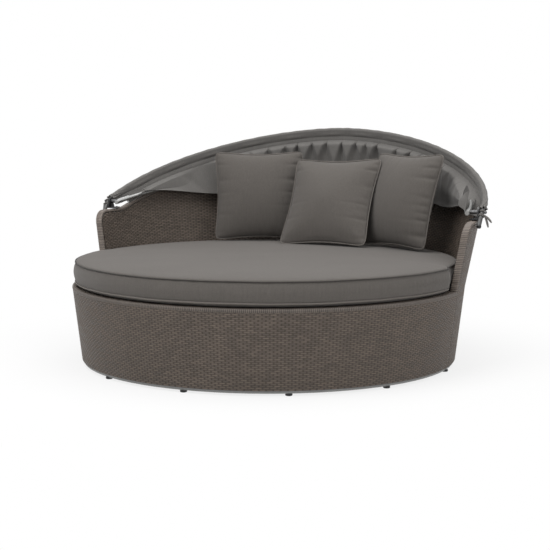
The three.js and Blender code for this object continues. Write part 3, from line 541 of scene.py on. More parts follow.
def woven_resin(look, weave):
    """Flat resin strands over and under upright stakes, with fine ribs, and painted shade in the gaps between
    rows, where a strand passes under a stake and along the ribs.
    """
    finish = Finish("woven_resin", 0.55, Specular_IOR_Level=0.35)
    u, v = finish.surface()
    rows = v / weave.row_pitch
    row = rows.floor()
    stakes = u / weave.stake_pitch + row
    dash = ((stakes + 1) / 2).floor()
    phase = (stakes * math.pi + math.pi / 2).sin()
    across = (rows.fract() - 0.5).abs() * 2
    over = phase.within(-1.02, -0.35)
    gap = 1 - across.within(0.5, 0.95)
    ribs = ribbed(v, weave.row_pitch)
    tone = finish.random(finish.joined(dash, row))
    cloud = finish.noise(finish.object_point(), 9.0, 3.0)
    colour = finish.mix(tone * 0.65 + cloud * 0.5 - 0.1, linear(look.strand, 0.7), linear(look.strand, 1.34))
    # Painted shade: darker where a strand passes under a stake, darker in the gaps between rows by a share
    # that changes from cell to cell, and a little darker along the ribs
    gap_shade_jitter = finish.random(finish.joined(row, stakes.floor())) * 0.5
    shade = (0.55 + over * 0.45) * (1 - (1 - gap) * (0.22 + gap_shade_jitter)) * (0.9 + ribs * 0.1)
    finish.set(Base_Color=finish.shaded(colour, shade), Roughness=0.42 + tone * 0.2 + (1 - gap) * 0.2)
    finish.bump(ribs * gap * 0.25 + gap * over + phase * 0.3, 0.0012, 0.7)
    return finish.material


def wrapped_trim(look, weave, name, share):
    """Strands wound side by side over an edge, lighter than the weave, with painted shade in the gaps between
    the wraps.
    """
    finish = Finish(name, 0.5, Specular_IOR_Level=0.4)
    u, v = finish.surface()
    wraps = u / weave.row_pitch
    across = (wraps.fract() - 0.5).abs() * 2
    tone = finish.random(finish.joined(wraps.floor(), 0.0))
    colour = finish.mix(tone * 0.7 + finish.noise(finish.object_point(), 12.0) * 0.3,
                        linear(look.trim, 0.78 * share), linear(look.trim, 1.22 * share))
    gap = 1 - across.within(0.45, 0.95)
    ribs = ribbed(u, weave.row_pitch)
    # Painted shade: the colour is darkened in the gaps between the wraps
    finish.set(Base_Color=finish.shaded(colour, 0.14 + gap * 0.86), Roughness=0.4 + tone * 0.22)
    finish.bump(gap + ribs * 0.18 * gap + 0.1 * finish.noise(finish.joined(u * 40, v * 6), 20.0), 0.0008, 0.6)
    return finish.material


def woven_cloth(name, colour):
    """Outdoor cloth: heathered threads, slubs, a fine plain weave and soft mottling."""
    finish = Finish(name, 0.88, Specular_IOR_Level=0.18, Sheen_Weight=0.12, Sheen_Roughness=0.55)
    thread = finish.streaks((1, 1, 0.12), 900.0) * 0.5 + finish.streaks((0.14, 0.14, 1), 900.0) * 0.5
    slub = finish.streaks((1, 1, 0.05), 160.0, 3.0)
    cloud = finish.noise(finish.object_point(), 5.0, 4.0, 0.6)
    tone = (thread - 0.5) * 1.6 + (slub - 0.5) * 0.5 + (cloud - 0.5) * 0.35 + 0.5
    finish.set(Base_Color=finish.mix(tone, linear(colour, 0.78), linear(colour, 1.24)),
               Roughness=0.82 + thread * 0.15)
    finish.bump(thread + slub * 0.3, 0.0006, 0.35)
    return finish.material


def piping_cloth(look, name, share):
    """Cord covered with the cloth cut on the bias."""
    finish = Finish(name, 0.9, Specular_IOR_Level=0.15, Sheen_Weight=0.1)
    u, v = finish.surface()
    twill = (u * 2400 + v * 1600).sin() * 0.5 + 0.5
    tone = twill * 0.4 + finish.noise(finish.object_point(), 300.0) * 0.6
    # The share makes lighter or darker copies of the cushion cloth: painted highlight or painted shade
    finish.set(Base_Color=finish.mix(tone, linear(look.cloth, 0.7 * share), linear(look.cloth, 1.3 * share)))
    finish.bump(twill, 0.0004, 0.5)
    return finish.material


def powder_coat(look):
    """Grey powder coat with its fine orange peel and a little dust."""
    finish = Finish("frame_grey", 0.45)
    point = finish.object_point()
    dust = finish.noise(point, 14.0, 4.0)
    finish.set(Base_Color=finish.mix(dust, linear(look.frame, 0.85), linear(look.frame, 1.15)),
               Roughness=0.36 + dust * 0.25)
    finish.bump(finish.noise(point, 900.0, 1.0), 0.0003, 0.35)
    return finish.material


def satin_metal(name, colour, roughness, grain=260.0):
    """Metal with fine streaks of polish and a few dull marks."""
    finish = Finish(name, roughness, 1.0)
    streak = finish.streaks((0.08, 1, 1), grain)
    marks = finish.noise(finish.object_point(), 24.0, 5.0, 0.65).within(0.45, 0.8)
    finish.set(Base_Color=finish.mix(marks, linear(colour), linear(colour, 0.72)),
               Roughness=roughness + (streak - 0.5) * 0.16 + marks * 0.18)
    finish.bump(streak, 0.0002, 0.25)
    return finish.material


def dark_finish(name, colour, roughness, grain, metallic=0.0):
    """Moulded or painted black, with grain and worn lighter patches; for the front hoop, its grey darkened as
    painted shade.
    """
    finish = Finish(name, roughness, metallic)
    point = finish.object_point()
    worn = finish.noise(point, 40.0, 5.0, 0.6).within(0.5, 0.85)
    finish.set(Base_Color=finish.mix(worn, linear(colour), linear(colour, 2.6)),
               Roughness=roughness + worn * 0.2)
    finish.bump(finish.noise(point, grain, 1.0), 0.0002, 0.4)
    return finish.material


# Settings that a user would change

class DaybedWeave(bpy.types.PropertyGroup):
    row_pitch: FloatProperty(name="Row Pitch", description="Height of one row of strands",
                             default=0.008, min=0.004, unit="LENGTH")
    stake_pitch: FloatProperty(name="Stake Pitch", description="Distance between two upright stakes",
                               default=0.0155, min=0.008, unit="LENGTH")
    relief: FloatProperty(name="Relief", description="How far a strand stands out over a stake",
                          default=0.002, min=0.0, unit="LENGTH")


class DaybedCushions(bpy.types.PropertyGroup):
    piping: FloatProperty(name="Piping", description="Radius of the piping", default=0.0031, unit="LENGTH")
    pressure: FloatProperty(name="Stuffing Pressure", description="How hard the stuffing pushes", default=4.0)
    frames: IntProperty(name="Settling Frames", description="Frames over which a cushion swells", default=22)


class DaybedCanopy(bpy.types.PropertyGroup):
    gather: FloatProperty(name="Gather", description="Depth of the gathers under the front band",
                          default=0.034, unit="LENGTH")
    cloth: FloatProperty(name="Cloth", description="Thickness of the cloth", default=0.0014, unit="LENGTH")


class DaybedLook(bpy.types.PropertyGroup):
    strand: FloatVectorProperty(name="Strands", description="Colour of the woven strands",
                                default=(0.121, 0.096, 0.0775), subtype="COLOR", size=3)
    trim: FloatVectorProperty(name="Trim", description="Colour of the wrapped edges",
                              default=(0.19, 0.158, 0.135), subtype="COLOR", size=3)
    cloth: FloatVectorProperty(name="Cloth", description="Colour of the cushions",
                               default=(0.102, 0.0925, 0.084), subtype="COLOR", size=3)
    canopy: FloatVectorProperty(name="Canopy", description="Colour of the canopy cloth",
                                default=(0.134, 0.128, 0.121), subtype="COLOR", size=3)
    frame: FloatVectorProperty(name="Frame", description="Colour of the powder-coated frame",
                               default=(0.26, 0.26, 0.255), subtype="COLOR", size=3)


class DaybedPart(bpy.types.Operator):
    """Shared settings of the daybed's operators"""

    bl_options = {"REGISTER", "UNDO"}

    @property
    def weave(self):
        return bpy.context.scene.daybed_weave

    @property
    def cushions(self):
        return bpy.context.scene.daybed_cushions

    @property
    def canopy(self):
        return bpy.context.scene.daybed_canopy

    @property
    def look(self):
        return bpy.context.scene.daybed_look

    def material(self, name):
        """One of the daybed's finishes, made when it is first asked for."""
        if f"daybed_{name}" not in bpy.data.materials:
            look, weave = self.look, self.weave
            {
                "woven_resin": lambda: woven_resin(look, weave),
                "wrapped_trim": lambda: wrapped_trim(look, weave, "wrapped_trim", 1.0),
                "wrapped_rim": lambda: wrapped_trim(look, weave, "wrapped_rim", 0.66),
                "cushion_cloth": lambda: woven_cloth("cushion_cloth", look.cloth),
                "canopy_cloth": lambda: woven_cloth("canopy_cloth", look.canopy),
                # Lighter copy of the cushion cloth, a painted highlight on the seat's low piping; it is also
                # used on the pillows' piping. The next is a darker copy, painted crease shadow on the high
                # piping.
                "piping_cloth": lambda: piping_cloth(look, "piping_cloth", 1.45),
                "shaded_piping_cloth": lambda: piping_cloth(look, "shaded_piping_cloth", 0.45),
                # The front hoop's grey, darkened far below the frame's grey: painted shade standing in for
                # its shaded legs
                "shaded_hoop_grey": lambda: dark_finish("shaded_hoop_grey", (0.07, 0.07, 0.069), 0.42, 900.0, 0.2),
                "frame_grey": lambda: powder_coat(look),
                "hoop_metal": lambda: satin_metal("hoop_metal", (0.4, 0.4, 0.39), 0.42),
                "zinc_steel": lambda: satin_metal("zinc_steel", (0.13, 0.13, 0.132), 0.5, 500.0),
                "black_metal": lambda: dark_finish("black_metal", (0.012, 0.012, 0.013), 0.4, 700.0, 0.3),
                "black_plastic": lambda: dark_finish("black_plastic", (0.011, 0.011, 0.011), 0.5, 1200.0),
            }[name]()
        return bpy.data.materials[f"daybed_{name}"]

    def painted(self, piece, material):
        piece.data.materials.clear()
        piece.data.materials.append(self.material(material))

    def finished(self, piece, material, slot, body, *nodes):
        """Gives a piece its finish, its body when one is given, and hides the nodes it replaces. The slot is
        not used.
        """
        self.painted(piece, material)
        if body:
            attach(piece, body)
        if nodes:
            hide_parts(*nodes)


class DAYBED_OT_stage(DaybedPart):
    """Sets up the floor, the light and the camera"""

    bl_idname = "daybed.stage"
    bl_label = "Stage"

    AIM = Vector((0, 0, 0.4))
    FLOOR_RADIUS = 14
    FLOOR_COLOUR = (0.8, 0.8, 0.8, 1)
    WORLD_STRENGTH = 0.5
    # Each lamp's name, place, size and power
    LAMPS = (("key", (-1.1, -2.7, 4.7), 3.0, 138),
             ("fill", (3.8, -2.6, 2.4), 3.0, 44),
             ("top", (0.4, 0.6, 4.6), 3.4, 92))
    # The camera that was fitted to the photo
    AZIMUTH = math.radians(24.446)
    ELEVATION = math.radians(6.74)
    DISTANCE = 6.207
    LENS = 87.69
    SENSOR = 36
    SHIFT = (0.01147, -0.00337)

    def execute(self, context):
        scene = context.scene
        scene.view_settings.view_transform = "Standard"
        self.floor()
        self.world(scene)
        for name, spot, size, power in self.LAMPS:
            self.lamp(name, spot, size, power)
        self.camera(scene)
        return {"FINISHED"}

    def floor(self):
        """Floor that takes shadows near the daybed and is plain white further away."""
        deselect()
        bpy.ops.mesh.primitive_circle_add(vertices=96, radius=self.FLOOR_RADIUS, fill_type="NGON")
        floor = named("floor")
        finish = Finish("floor", 0.9, Specular_IOR_Level=0.0, Base_Color=self.FLOOR_COLOUR)
        glow = finish.node("ShaderNodeEmission", values={"Color": WHITE, "Strength": 1.0})
        away = finish.node("ShaderNodeVectorMath", {"operation": "LENGTH"}, (finish.object_point(),), "Value")
        share = finish.seen() * (0.8 + away.within(0.8, 1.9) * 0.2)
        finish.mix_shader(share, Value(finish, finish.shader.outputs[0]), glow, "Material Output")
        floor.data.materials.append(finish.material)

    def world(self, scene):
        """World that is white to look at and lights more softly."""
        world = bpy.data.worlds.new("studio")
        world.use_nodes = True
        scene.world = world
        maker = NodeMaker(world.node_tree)
        soft = maker.nodes["Background"]
        soft.inputs["Color"].default_value = WHITE
        soft.inputs["Strength"].default_value = self.WORLD_STRENGTH
        white = maker.node("ShaderNodeBackground", values={"Color": WHITE, "Strength": 1.0})
        maker.mix_shader(maker.seen(), Value(maker, soft.outputs[0]), white, "World Output")

    def lamp(self, name, spot, size, power):
        deselect()
        bpy.ops.object.light_add(type="AREA", location=spot)
        lamp = named(name)
        lamp.rotation_euler = (self.AIM - Vector(spot)).to_track_quat("-Z", "Y").to_euler()
        lamp.data.size = size
        lamp.data.energy = power

    def camera(self, scene):
        level = math.cos(self.ELEVATION)
        back = Vector((math.sin(self.AZIMUTH) * level, -math.cos(self.AZIMUTH) * level,
                       math.sin(self.ELEVATION)))
        deselect()
        bpy.ops.object.camera_add(location=self.AIM + back * self.DISTANCE)
        camera = named("camera")
        camera.rotation_euler = (-back).to_track_quat("-Z", "Y").to_euler()
        camera.data.lens = self.LENS
        camera.data.sensor_width = self.SENSOR
        camera.data.shift_x, camera.data.shift_y = self.SHIFT
        scene.camera = camera


class DAYBED_OT_weave(DaybedPart):
    """Weaves the front skirt and the two faces of the back"""

    bl_idname = "daybed.weave"
    bl_label = "Woven Skins"

    def execute(self, context):
        half_gap = SEAM_GAP / 2
        inset = EDGE_HEIGHT + 0.0012
        under_roll = RIM_HEIGHT - ROLL_HEIGHT + 0.0036
        under_deck = DECK_TOP - 0.0038

        def under_edge(place):
            return edge_line(place, inset)

        self.skin("front_weave", "front_woven_skin", -HALF_ROUND + half_gap, -half_gap, WEAVE_BOTTOM,
                  lambda place: under_roll + 0 * place, 0.0, 1)
        self.skin("back_outer_weave", "back_outer_skin", inset, HALF_ROUND - inset, WEAVE_BOTTOM,
                  under_edge, 0.0, 1)
        self.skin("back_inner_weave", "back_inner_skin", inset, HALF_ROUND - inset, under_deck,
                  under_edge, WALL, -1)
        return {"FINISHED"}

    def skin(self, name, node, start, end, bottom, top, depth, outward):
        """One face of the wall. Its relief stands out to the side that is seen."""
        pitch, stakes = self.weave.row_pitch, round((end - start) / self.weave.stake_pitch)
        places = np.linspace(start, end, 400)
        height = float(top(places).max()) - bottom
        rows = math.ceil(height / pitch)

        def surface(u, v, sink):
            place = start + (end - start) * u
            rise = v * rows
            z = np.minimum(bottom + rise * pitch, top(place))
            row = np.floor(rise + 1e-6)
            wave = np.cos(math.pi * (u * stakes + row)) * (np.abs(rise - row - 0.5) < 0.25)
            clear = ease((top(place) - z) / pitch) * ease((z - bottom) / pitch * 2)
            gap = -0.45 * (np.abs(rise - row - 0.5) > 0.25)
            relief = self.weave.relief * (0.35 + wave * 0.65 + gap) * clear
            return wall_point(place, z, depth - outward * (relief - sink))

        uv_size = (stakes * self.weave.stake_pitch, rows * pitch)
        face = laid(name, 2 * stakes, 2 * rows, lambda u, v: surface(u, v, 0.0), uv_size)
        mesh_edit(face, merge(2e-5))
        coarse = stakes // 2
        back = laid(f"{name}_back", coarse, max(4, rows // 4),
                    lambda u, v: surface(np.round(u * coarse) / coarse, v, SKIN * 0.8), uv_size)
        mesh_edit(back, merge(2e-5))
        mesh_edit(back if outward > 0 else face, bpy.ops.mesh.flip_normals)
        piece = joined(name, face, back)
        only(piece)
        bpy.ops.object.shade_smooth()
        self.finished(piece, "woven_resin", "woven_resin", "body", node)


class DAYBED_OT_trims(DaybedPart):
    """Winds strands over the rim of the base and the edge of the back"""

    bl_idname = "daybed.trims"
    bl_label = "Wrapped Edges"

    ROLL_DEPTH = 0.0248
    RIDGE = 0.0009

    def execute(self, context):
        self.rim_roll()
        self.wrapped_edge()
        return {"FINISHED"}

    def section(self, width, height, rounding, corners=4):
        """Rounded rectangle from its middle, as points in order."""
        points = []
        for quarter, (sx, sy) in enumerate(((1, 1), (-1, 1), (-1, -1), (1, -1))):
            for step in range(corners):
                turn = math.pi / 2 * (quarter + step / (corners - 1))
                points.append((sx * (width / 2 - rounding) + rounding * math.cos(turn),
                               sy * (height / 2 - rounding) + rounding * math.sin(turn)))
        return np.array(points)

    def wound(self, name, node, material, length, section, lay):
        """Sweeps a section with one ridge for each strand wound over it."""
        pitch = self.weave.row_pitch
        wraps = round(length / pitch)
        rings, sides = 3 * wraps, len(section)
        middle = section / np.linalg.norm(section, axis=1)[:, None]

        def surface(u, v):
            k = np.round(v * sides).astype(int) % sides
            phase = (u * wraps) % 1.0
            ridge = self.RIDGE * np.abs(np.sin(math.pi * phase)) ** 0.7 - 0.0005
            spot = section[k] + middle[k] * ridge[:, None]
            return lay(u, spot[:, 0], spot[:, 1])

        perimeter = np.linalg.norm(np.roll(section, -1, 0) - section, axis=1).sum()
        piece = laid(name, rings, sides, surface, (wraps * pitch, float(perimeter)))
        mesh_edit(piece, merge(), close_ends, outwards)
        smooth(piece, 60)
        self.finished(piece, material, "wrapped_trim", "body", node)

    def rim_roll(self):
        half_gap = SEAM_GAP / 2 + 0.0004
        low = RIM_HEIGHT - ROLL_HEIGHT
        inner, outer = RIM_RADIUS - self.ROLL_DEPTH, RIM_RADIUS + EDGE_PROUD
        centre = (inner + outer) / 2

        def lay(u, out, up):
            angle = (-HALF_ROUND + half_gap + (HALF_ROUND - 2 * half_gap) * u) / RIM_RADIUS
            radius = centre + out
            return np.stack([radius * np.cos(angle), radius * np.sin(angle), low + ROLL_HEIGHT / 2 + up], -1)

        section = self.section(outer - inner - 0.0012, ROLL_HEIGHT - 0.0014, rounding=0.0072, corners=5)
        self.wound("rim_roll", "front_rim_roll", "wrapped_rim", HALF_ROUND, section, lay)

    def wrapped_edge(self):
        """Path up one end of the back, round its corner, along the top and down the other end."""
        end_top = float(top_line(np.array(CORNER))) - CORNER
        post = np.linspace(WEAVE_BOTTOM, end_top, 60)[:-1]
        turn = np.linspace(0, math.pi / 2, 24)
        middle = np.linspace(CORNER, HALF_ROUND - CORNER, 500)[1:-1]
        slope = np.gradient(top_line(middle), middle)
        slant = np.hypot(1, slope)
        up_the_end = np.stack([0 * post, post, -1 + 0 * post, 0 * post], -1)
        round_the_corner = np.stack([CORNER * (1 - np.cos(turn)), end_top + CORNER * np.sin(turn),
                                     -np.cos(turn), np.sin(turn)], -1)
        half = np.concatenate([up_the_end, round_the_corner])
        rising = np.stack([middle, top_line(middle), -slope / slant, 1 / slant], -1)
        other = half[::-1] * [-1, 1, -1, 1] + [HALF_ROUND, 0, 0, 0]
        path = np.concatenate([half, rising, other])
        spots = wall_point(path[:, 0], path[:, 1], WALL / 2)
        run = np.concatenate([[0], np.cumsum(np.linalg.norm(np.diff(spots, axis=0), axis=1))])

        def lay(u, inset, depth):
            place, z, across, up = (np.interp(u * run[-1], run, path[:, i]) for i in range(4))
            deep = EDGE_HEIGHT / 2 + inset
            return wall_point(place - across * deep, z - up * deep, WALL / 2 + depth)

        section = self.section(EDGE_HEIGHT - 0.001, WALL + 2 * EDGE_PROUD - 0.001, rounding=0.005)
        self.wound("wrapped_edge", "back_wrapped_edge", "wrapped_trim", float(run[-1]), section, lay)


class DAYBED_OT_frame(DaybedPart):
    """Finishes the frame, decks, glides and bolts"""

    bl_idname = "daybed.frame"
    bl_label = "Frame and Glides"

    # The glide's outline from the floor, in shares of its radius and of its height
    GLIDE = ((0.72, 0), (0.9, 0.08), (0.97, 0.3), (1, 0.36), (1, 0.6), (0.9, 0.66), (0.9, 0.78),
             (0.98, 0.84), (0.98, 1))
    # The fixed rear hoop: its radius, its feet, how far they stand in from its ends, and their outline
    RAIL = 0.008
    FEET = 5
    FOOT_SETBACK = 0.03
    FOOT = ((0.0095, -0.0062), (0.0095, -0.0035), (0.0055, -0.002), (0.005, 0.005))

    def execute(self, context):
        slots = {part["node"]: part["material_slot"] for part in frame["record"]["subparts"]}
        for node, piece in frame["nodes"].items():
            if slots[node] in ("frame_grey", "zinc_steel", "black_metal"):
                self.painted(piece, slots[node])
        for side in ("front", "rear"):
            self.deck(side)
        self.glides()
        self.rear_hoop()
        return {"FINISHED"}

    def deck(self, side):
        """Half-round deck of the same strands, under the cushion."""
        low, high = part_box(f"{side}_seat_deck")
        radius, sign = high.x, 1 if side == "rear" else -1

        def surface(u, v):
            y = SEAM_GAP / 2 + (radius - SEAM_GAP / 2) * v
            x = (2 * u - 1) * np.sqrt(np.maximum(radius**2 - y**2, 1e-9))
            return np.stack([x, sign * y, high.z + 0 * x], -1)

        piece = laid(f"{side}_deck", 96, 48, surface, (2 * radius, radius))
        mesh_edit(piece, merge(1e-4))
        if side == "front":
            mesh_edit(piece, bpy.ops.mesh.flip_normals)
        thickened(piece, high.z - low.z)
        smooth(piece, 30)
        self.finished(piece, "woven_resin", "woven_resin", "body", f"{side}_seat_deck")

    def glides(self):
        """Moulded foot with a ribbed collar, copied to each place."""
        low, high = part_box("front_glide_1")
        height, radius = high.z - low.z, (high.x - low.x) / 2
        pattern = lathe("glide_pattern", [(radius * across, height * up) for across, up in self.GLIDE])
        for node in [n for n in frame["nodes"] if "_glide_" in n]:
            low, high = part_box(node)
            glide = copied(pattern, node.replace("glide", "foot"))
            moved(glide, Matrix.Translation(((low.x + high.x) / 2, (low.y + high.y) / 2, low.z)))
            self.finished(glide, "black_plastic", "black_plastic", "body", node)
        bpy.data.objects.remove(pattern)

    def rear_hoop(self):
        """Fixed hoop on the back's top edge with its feet."""
        places = np.linspace(REAR_HOOP_START, HALF_ROUND - REAR_HOOP_START, 160)
        path = wall_point(places, edge_line(places) + REAR_HOOP_LIFT, WALL / 2)
        bar = tube("rear_rail", path, self.RAIL, 16)
        first_foot = REAR_HOOP_START + self.FOOT_SETBACK
        feet = []
        for i, place in enumerate(np.linspace(first_foot, HALF_ROUND - first_foot, self.FEET)):
            place = np.array([place])
            spot = wall_point(place, edge_line(place) + REAR_HOOP_LIFT * 0.5, WALL / 2)[0]
            feet.append(moved(lathe(f"rear_foot_{i}", self.FOOT, 16), Matrix.Translation(spot)))
        piece = joined("rear_rail", bar, *feet)
        self.finished(piece, "frame_grey", "frame_grey", "body", "rear_hoop")


class DAYBED_OT_hoops(DaybedPart):
    """Bends the two canopy hoops and dresses their pivots"""

    bl_idname = "daybed.hoops"
    bl_label = "Canopy Hoops"

    def execute(self, context):
        self.front_hoop()
        self.middle_hoop()
        for side in ("right", "left"):
            for node, body, material in ((f"{side}_pivot_bracket", "body", "black_metal"),
                                         (f"{side}_spacer", "body", "zinc_steel"),
                                         (f"{side}_pivot_bolt", "middle_hoop", "zinc_steel"),
                                         (f"{side}_cap_nut", "middle_hoop", "zinc_steel"),
                                         (f"{side}_hoop_cap", "front_hoop", "black_plastic")):
                self.eased(node, body, material)
        return {"FINISHED"}

    def front_hoop(self):
        turns = np.concatenate([[0.0, 0.012], np.linspace(0.03, math.pi - 0.03, 220),
                                [math.pi - 0.012, math.pi]])
        x, reach = front_arch(turns)
        arch = in_hoop(x, reach, 0 * reach, FRONT_INCLINE)
        leg = np.linspace(TAIL_LENGTH, TUBE, 8)
        hoop = tube("front_bow", np.concatenate([tail(1, leg), arch, tail(-1, leg)[::-1]]), TUBE)
        # The front hoop's finish is the frame's grey darkened as painted shade
        self.finished(hoop, "shaded_hoop_grey", "frame_grey", "front_hoop", "front_hoop")

    def middle_hoop(self):
        start = math.atan2(PIVOT_Y, RIM_RADIUS) - 0.02
        for _ in range(SETTLING_ROUNDS):
            start = math.atan2(PIVOT_Y, float(middle_arch(start)[0]))
        stub = 0.026 / RIM_RADIUS
        x, reach = middle_arch(np.linspace(start - stub, math.pi - start + stub, 220))
        hoop = tube("middle_bow", in_hoop(x, reach, 0 * reach, MIDDLE_INCLINE), TUBE)
        self.finished(hoop, "hoop_metal", "hoop_metal", "middle_hoop", "middle_hoop")

    def eased(self, node, body, material):
        """Copy of a fitting with its edges eased by a small bevel."""
        source = frame["nodes"][node]
        name = node.replace("pivot_", "hinge_").replace("spacer", "washer").replace("_cap", "_end")
        piece = copied(source, name)
        for key in list(piece.keys()):
            del piece[key]
        piece.parent = None
        piece.matrix_world = Matrix.Identity(4)
        mesh_edit(piece, merge(1e-5), lambda: bpy.ops.mesh.dissolve_limited(angle_limit=math.radians(2)))
        modified(piece, "BEVEL", width=0.0007, segments=2, limit_method="ANGLE", angle_limit=math.radians(35),
                 harden_normals=False)
        smooth(piece, 35)
        self.finished(piece, material, material, body, node)


class DAYBED_OT_seat(DaybedPart):
    """Sews the round seat cushion with its two lines of piping"""

    bl_idname = "daybed.seat"
    bl_label = "Seat Cushion"

    FRONT_RADIUS = RIM_RADIUS - 0.012
    REAR_RADIUS = RIM_RADIUS - WALL - 0.0045
    BOTTOM = DECK_TOP + 0.0003
    HEIGHT = 0.112
    CROWN = 0.018
    SPOTS = 540
    # The side's outline from below: depth in from the edge and height over the bottom
    SIDE = ((0.30, 0), (0.10, 0), (0.05, 0.0003), (0.030, 0.0015), (0.016, 0.0052), (0.0075, 0.0105),
            (0.0045, 0.0155), (0.0055, 0.0175), (0.0035, 0.021), (-0.0005, 0.029), (-0.004, 0.043),
            (-0.0062, 0.058), (-0.0055, 0.072), (-0.0025, 0.087), (0.0015, 0.098), (0.0042, 0.1035),
            (0.0062, 0.1055), (0.0068, 0.108), (0.0115, 0.1118), (0.020, 0.1142), (0.035, 0.1168),
            (0.06, 0.1192))
    TOP_SHARES = (0.1, 0.16, 0.24, 0.34, 0.46, 0.6, 0.75, 0.87, 0.96, 1.0)
    SEAM_DEPTH = 0.0035
    LOW_SEAM = 0.0175
    # Each line of piping: its name, its height over the bottom, its share of the piping's radius and its
    # finish. The low one's finish is a lighter copy of the cushion cloth, a painted highlight; the high one's
    # is a darker copy, painted crease shadow.
    PIPINGS = (("low", LOW_SEAM, 1.3, "piping_cloth"), ("high", HEIGHT - 0.0065, 0.85, "shaded_piping_cloth"))
    WRINKLED_AT = math.radians(-12)
    WAVES = 14

    def execute(self, context):
        self.pad()
        for name, rise, share, cloth in self.PIPINGS:
            self.piping(name, self.BOTTOM + rise, share, cloth)
        return {"FINISHED"}

    def plan_radius(self, angle):
        forward = np.clip(-self.REAR_RADIUS * np.sin(angle) / 0.085, 0, 1)
        share = forward**3 * (forward * (forward * 6 - 15) + 10)
        return self.REAR_RADIUS + (self.FRONT_RADIUS - self.REAR_RADIUS) * share

    def pad(self):
        """The boxed pad, turned from its outline, with slack on top and small folds along its seams."""
        low, high = self.BOTTOM, self.BOTTOM + self.HEIGHT
        deep = np.array(self.TOP_SHARES)
        top = np.stack([deep * self.FRONT_RADIUS, high + self.CROWN * (1 - np.exp(-7 * deep))], -1)
        side = np.array(self.SIDE) + [0, low]
        dense = self.refined(np.concatenate([[(self.FRONT_RADIUS, low)], side, top]))
        folds = np.random.default_rng(11).normal(size=(3, 40))

        def surface(u, v):
            row = np.round(v * (len(dense) - 1)).astype(int)
            angle = TURN * u - math.pi / 2
            radius = self.plan_radius(angle)
            depth, z = dense[row, 0], dense[row, 1]
            share = 1 - depth / self.FRONT_RADIUS
            boxing = np.exp(-((z - low - 0.06) / 0.03) ** 2) * (depth < 0.02)
            ripple = sum(folds[0, k] * np.sin((k + 5) * angle + folds[1, k] * 6)
                         for k in range(self.WAVES)) / self.WAVES
            fine = sum(folds[2, k] * np.sin((3 * k + 41) * angle + folds[1, k + self.WAVES] * 9)
                       for k in range(self.WAVES)) / self.WAVES
            near_seam = (np.exp(-np.abs(z - (low + 0.105)) / 0.012)
                         + np.exp(-np.abs(z - (low + self.LOW_SEAM)) / 0.01))
            wrinkled = ease((np.cos(angle - self.WRINKLED_AT) - 0.965) / 0.03) * boxing
            creases = np.sin(angle * 210 + 4 * np.sin(z * 90)) * wrinkled
            out = boxing * ripple * 0.0026 + near_seam * (depth < 0.03) * fine * 0.0016 + creases * 0.0022
            plain = radius * share + out
            x, y = plain * np.cos(angle), plain * np.sin(angle)
            on_top = z > high + 0.001
            rolling = (np.sin(5.1 * x + 1.3 * y + 1.0) * np.sin(4.3 * y - 1.7 * x) * 0.0022
                       + np.sin(13 * x - 7 * y) * np.sin(9 * y + 2) * 0.0007)
            seam_pull = np.exp(-depth / 0.03) * fine * 0.0012
            z = z + on_top * ease(depth / 0.12) * rolling + on_top * seam_pull
            return np.stack([x, y, z], -1)

        piece = laid("seat_pad", self.SPOTS, len(dense) - 1, surface, (TURN * self.FRONT_RADIUS, 1.9))
        mesh_edit(piece, merge(1e-5), outwards)
        smooth(piece, 60)
        self.finished(piece, "cushion_cloth", "grey_fabric", "body", "seat_cushion")

    def piping(self, name, z, share, cloth):
        angle = np.linspace(0, TURN, self.SPOTS, endpoint=False)
        sway = 0.0006 * np.sin(angle * 9 + self.SEAM_DEPTH * 300) + 0.0004 * np.sin(angle * 23)
        radius = self.plan_radius(angle) - self.SEAM_DEPTH + 0.0012
        path = np.stack([radius * np.cos(angle), radius * np.sin(angle), z + sway], -1)
        cord = tube(f"seat_piping_{name}", path, self.cushions.piping * share, 10, closed=True)
        self.finished(cord, cloth, "grey_fabric", "body")

    def refined(self, profile):
        """The profile with two points between each pair round its edge, on a smooth curve."""
        points = [profile[0]]
        for i in range(len(profile) - 1):
            a, b = profile[max(i - 1, 0)], profile[i]
            c, d = profile[i + 1], profile[min(i + 2, len(profile) - 1)]
            for t in (1 / 3, 2 / 3, 1.0):
                span = 0.5 * ((2 * b) + (c - a) * t + (2 * a - 5 * b + 4 * c - d) * t**2
                              + (3 * b - a - 3 * c + d) * t**3)
                points.append(b + (c - b) * t if i < 2 or t == 1.0 else span)
        return np.array(points)


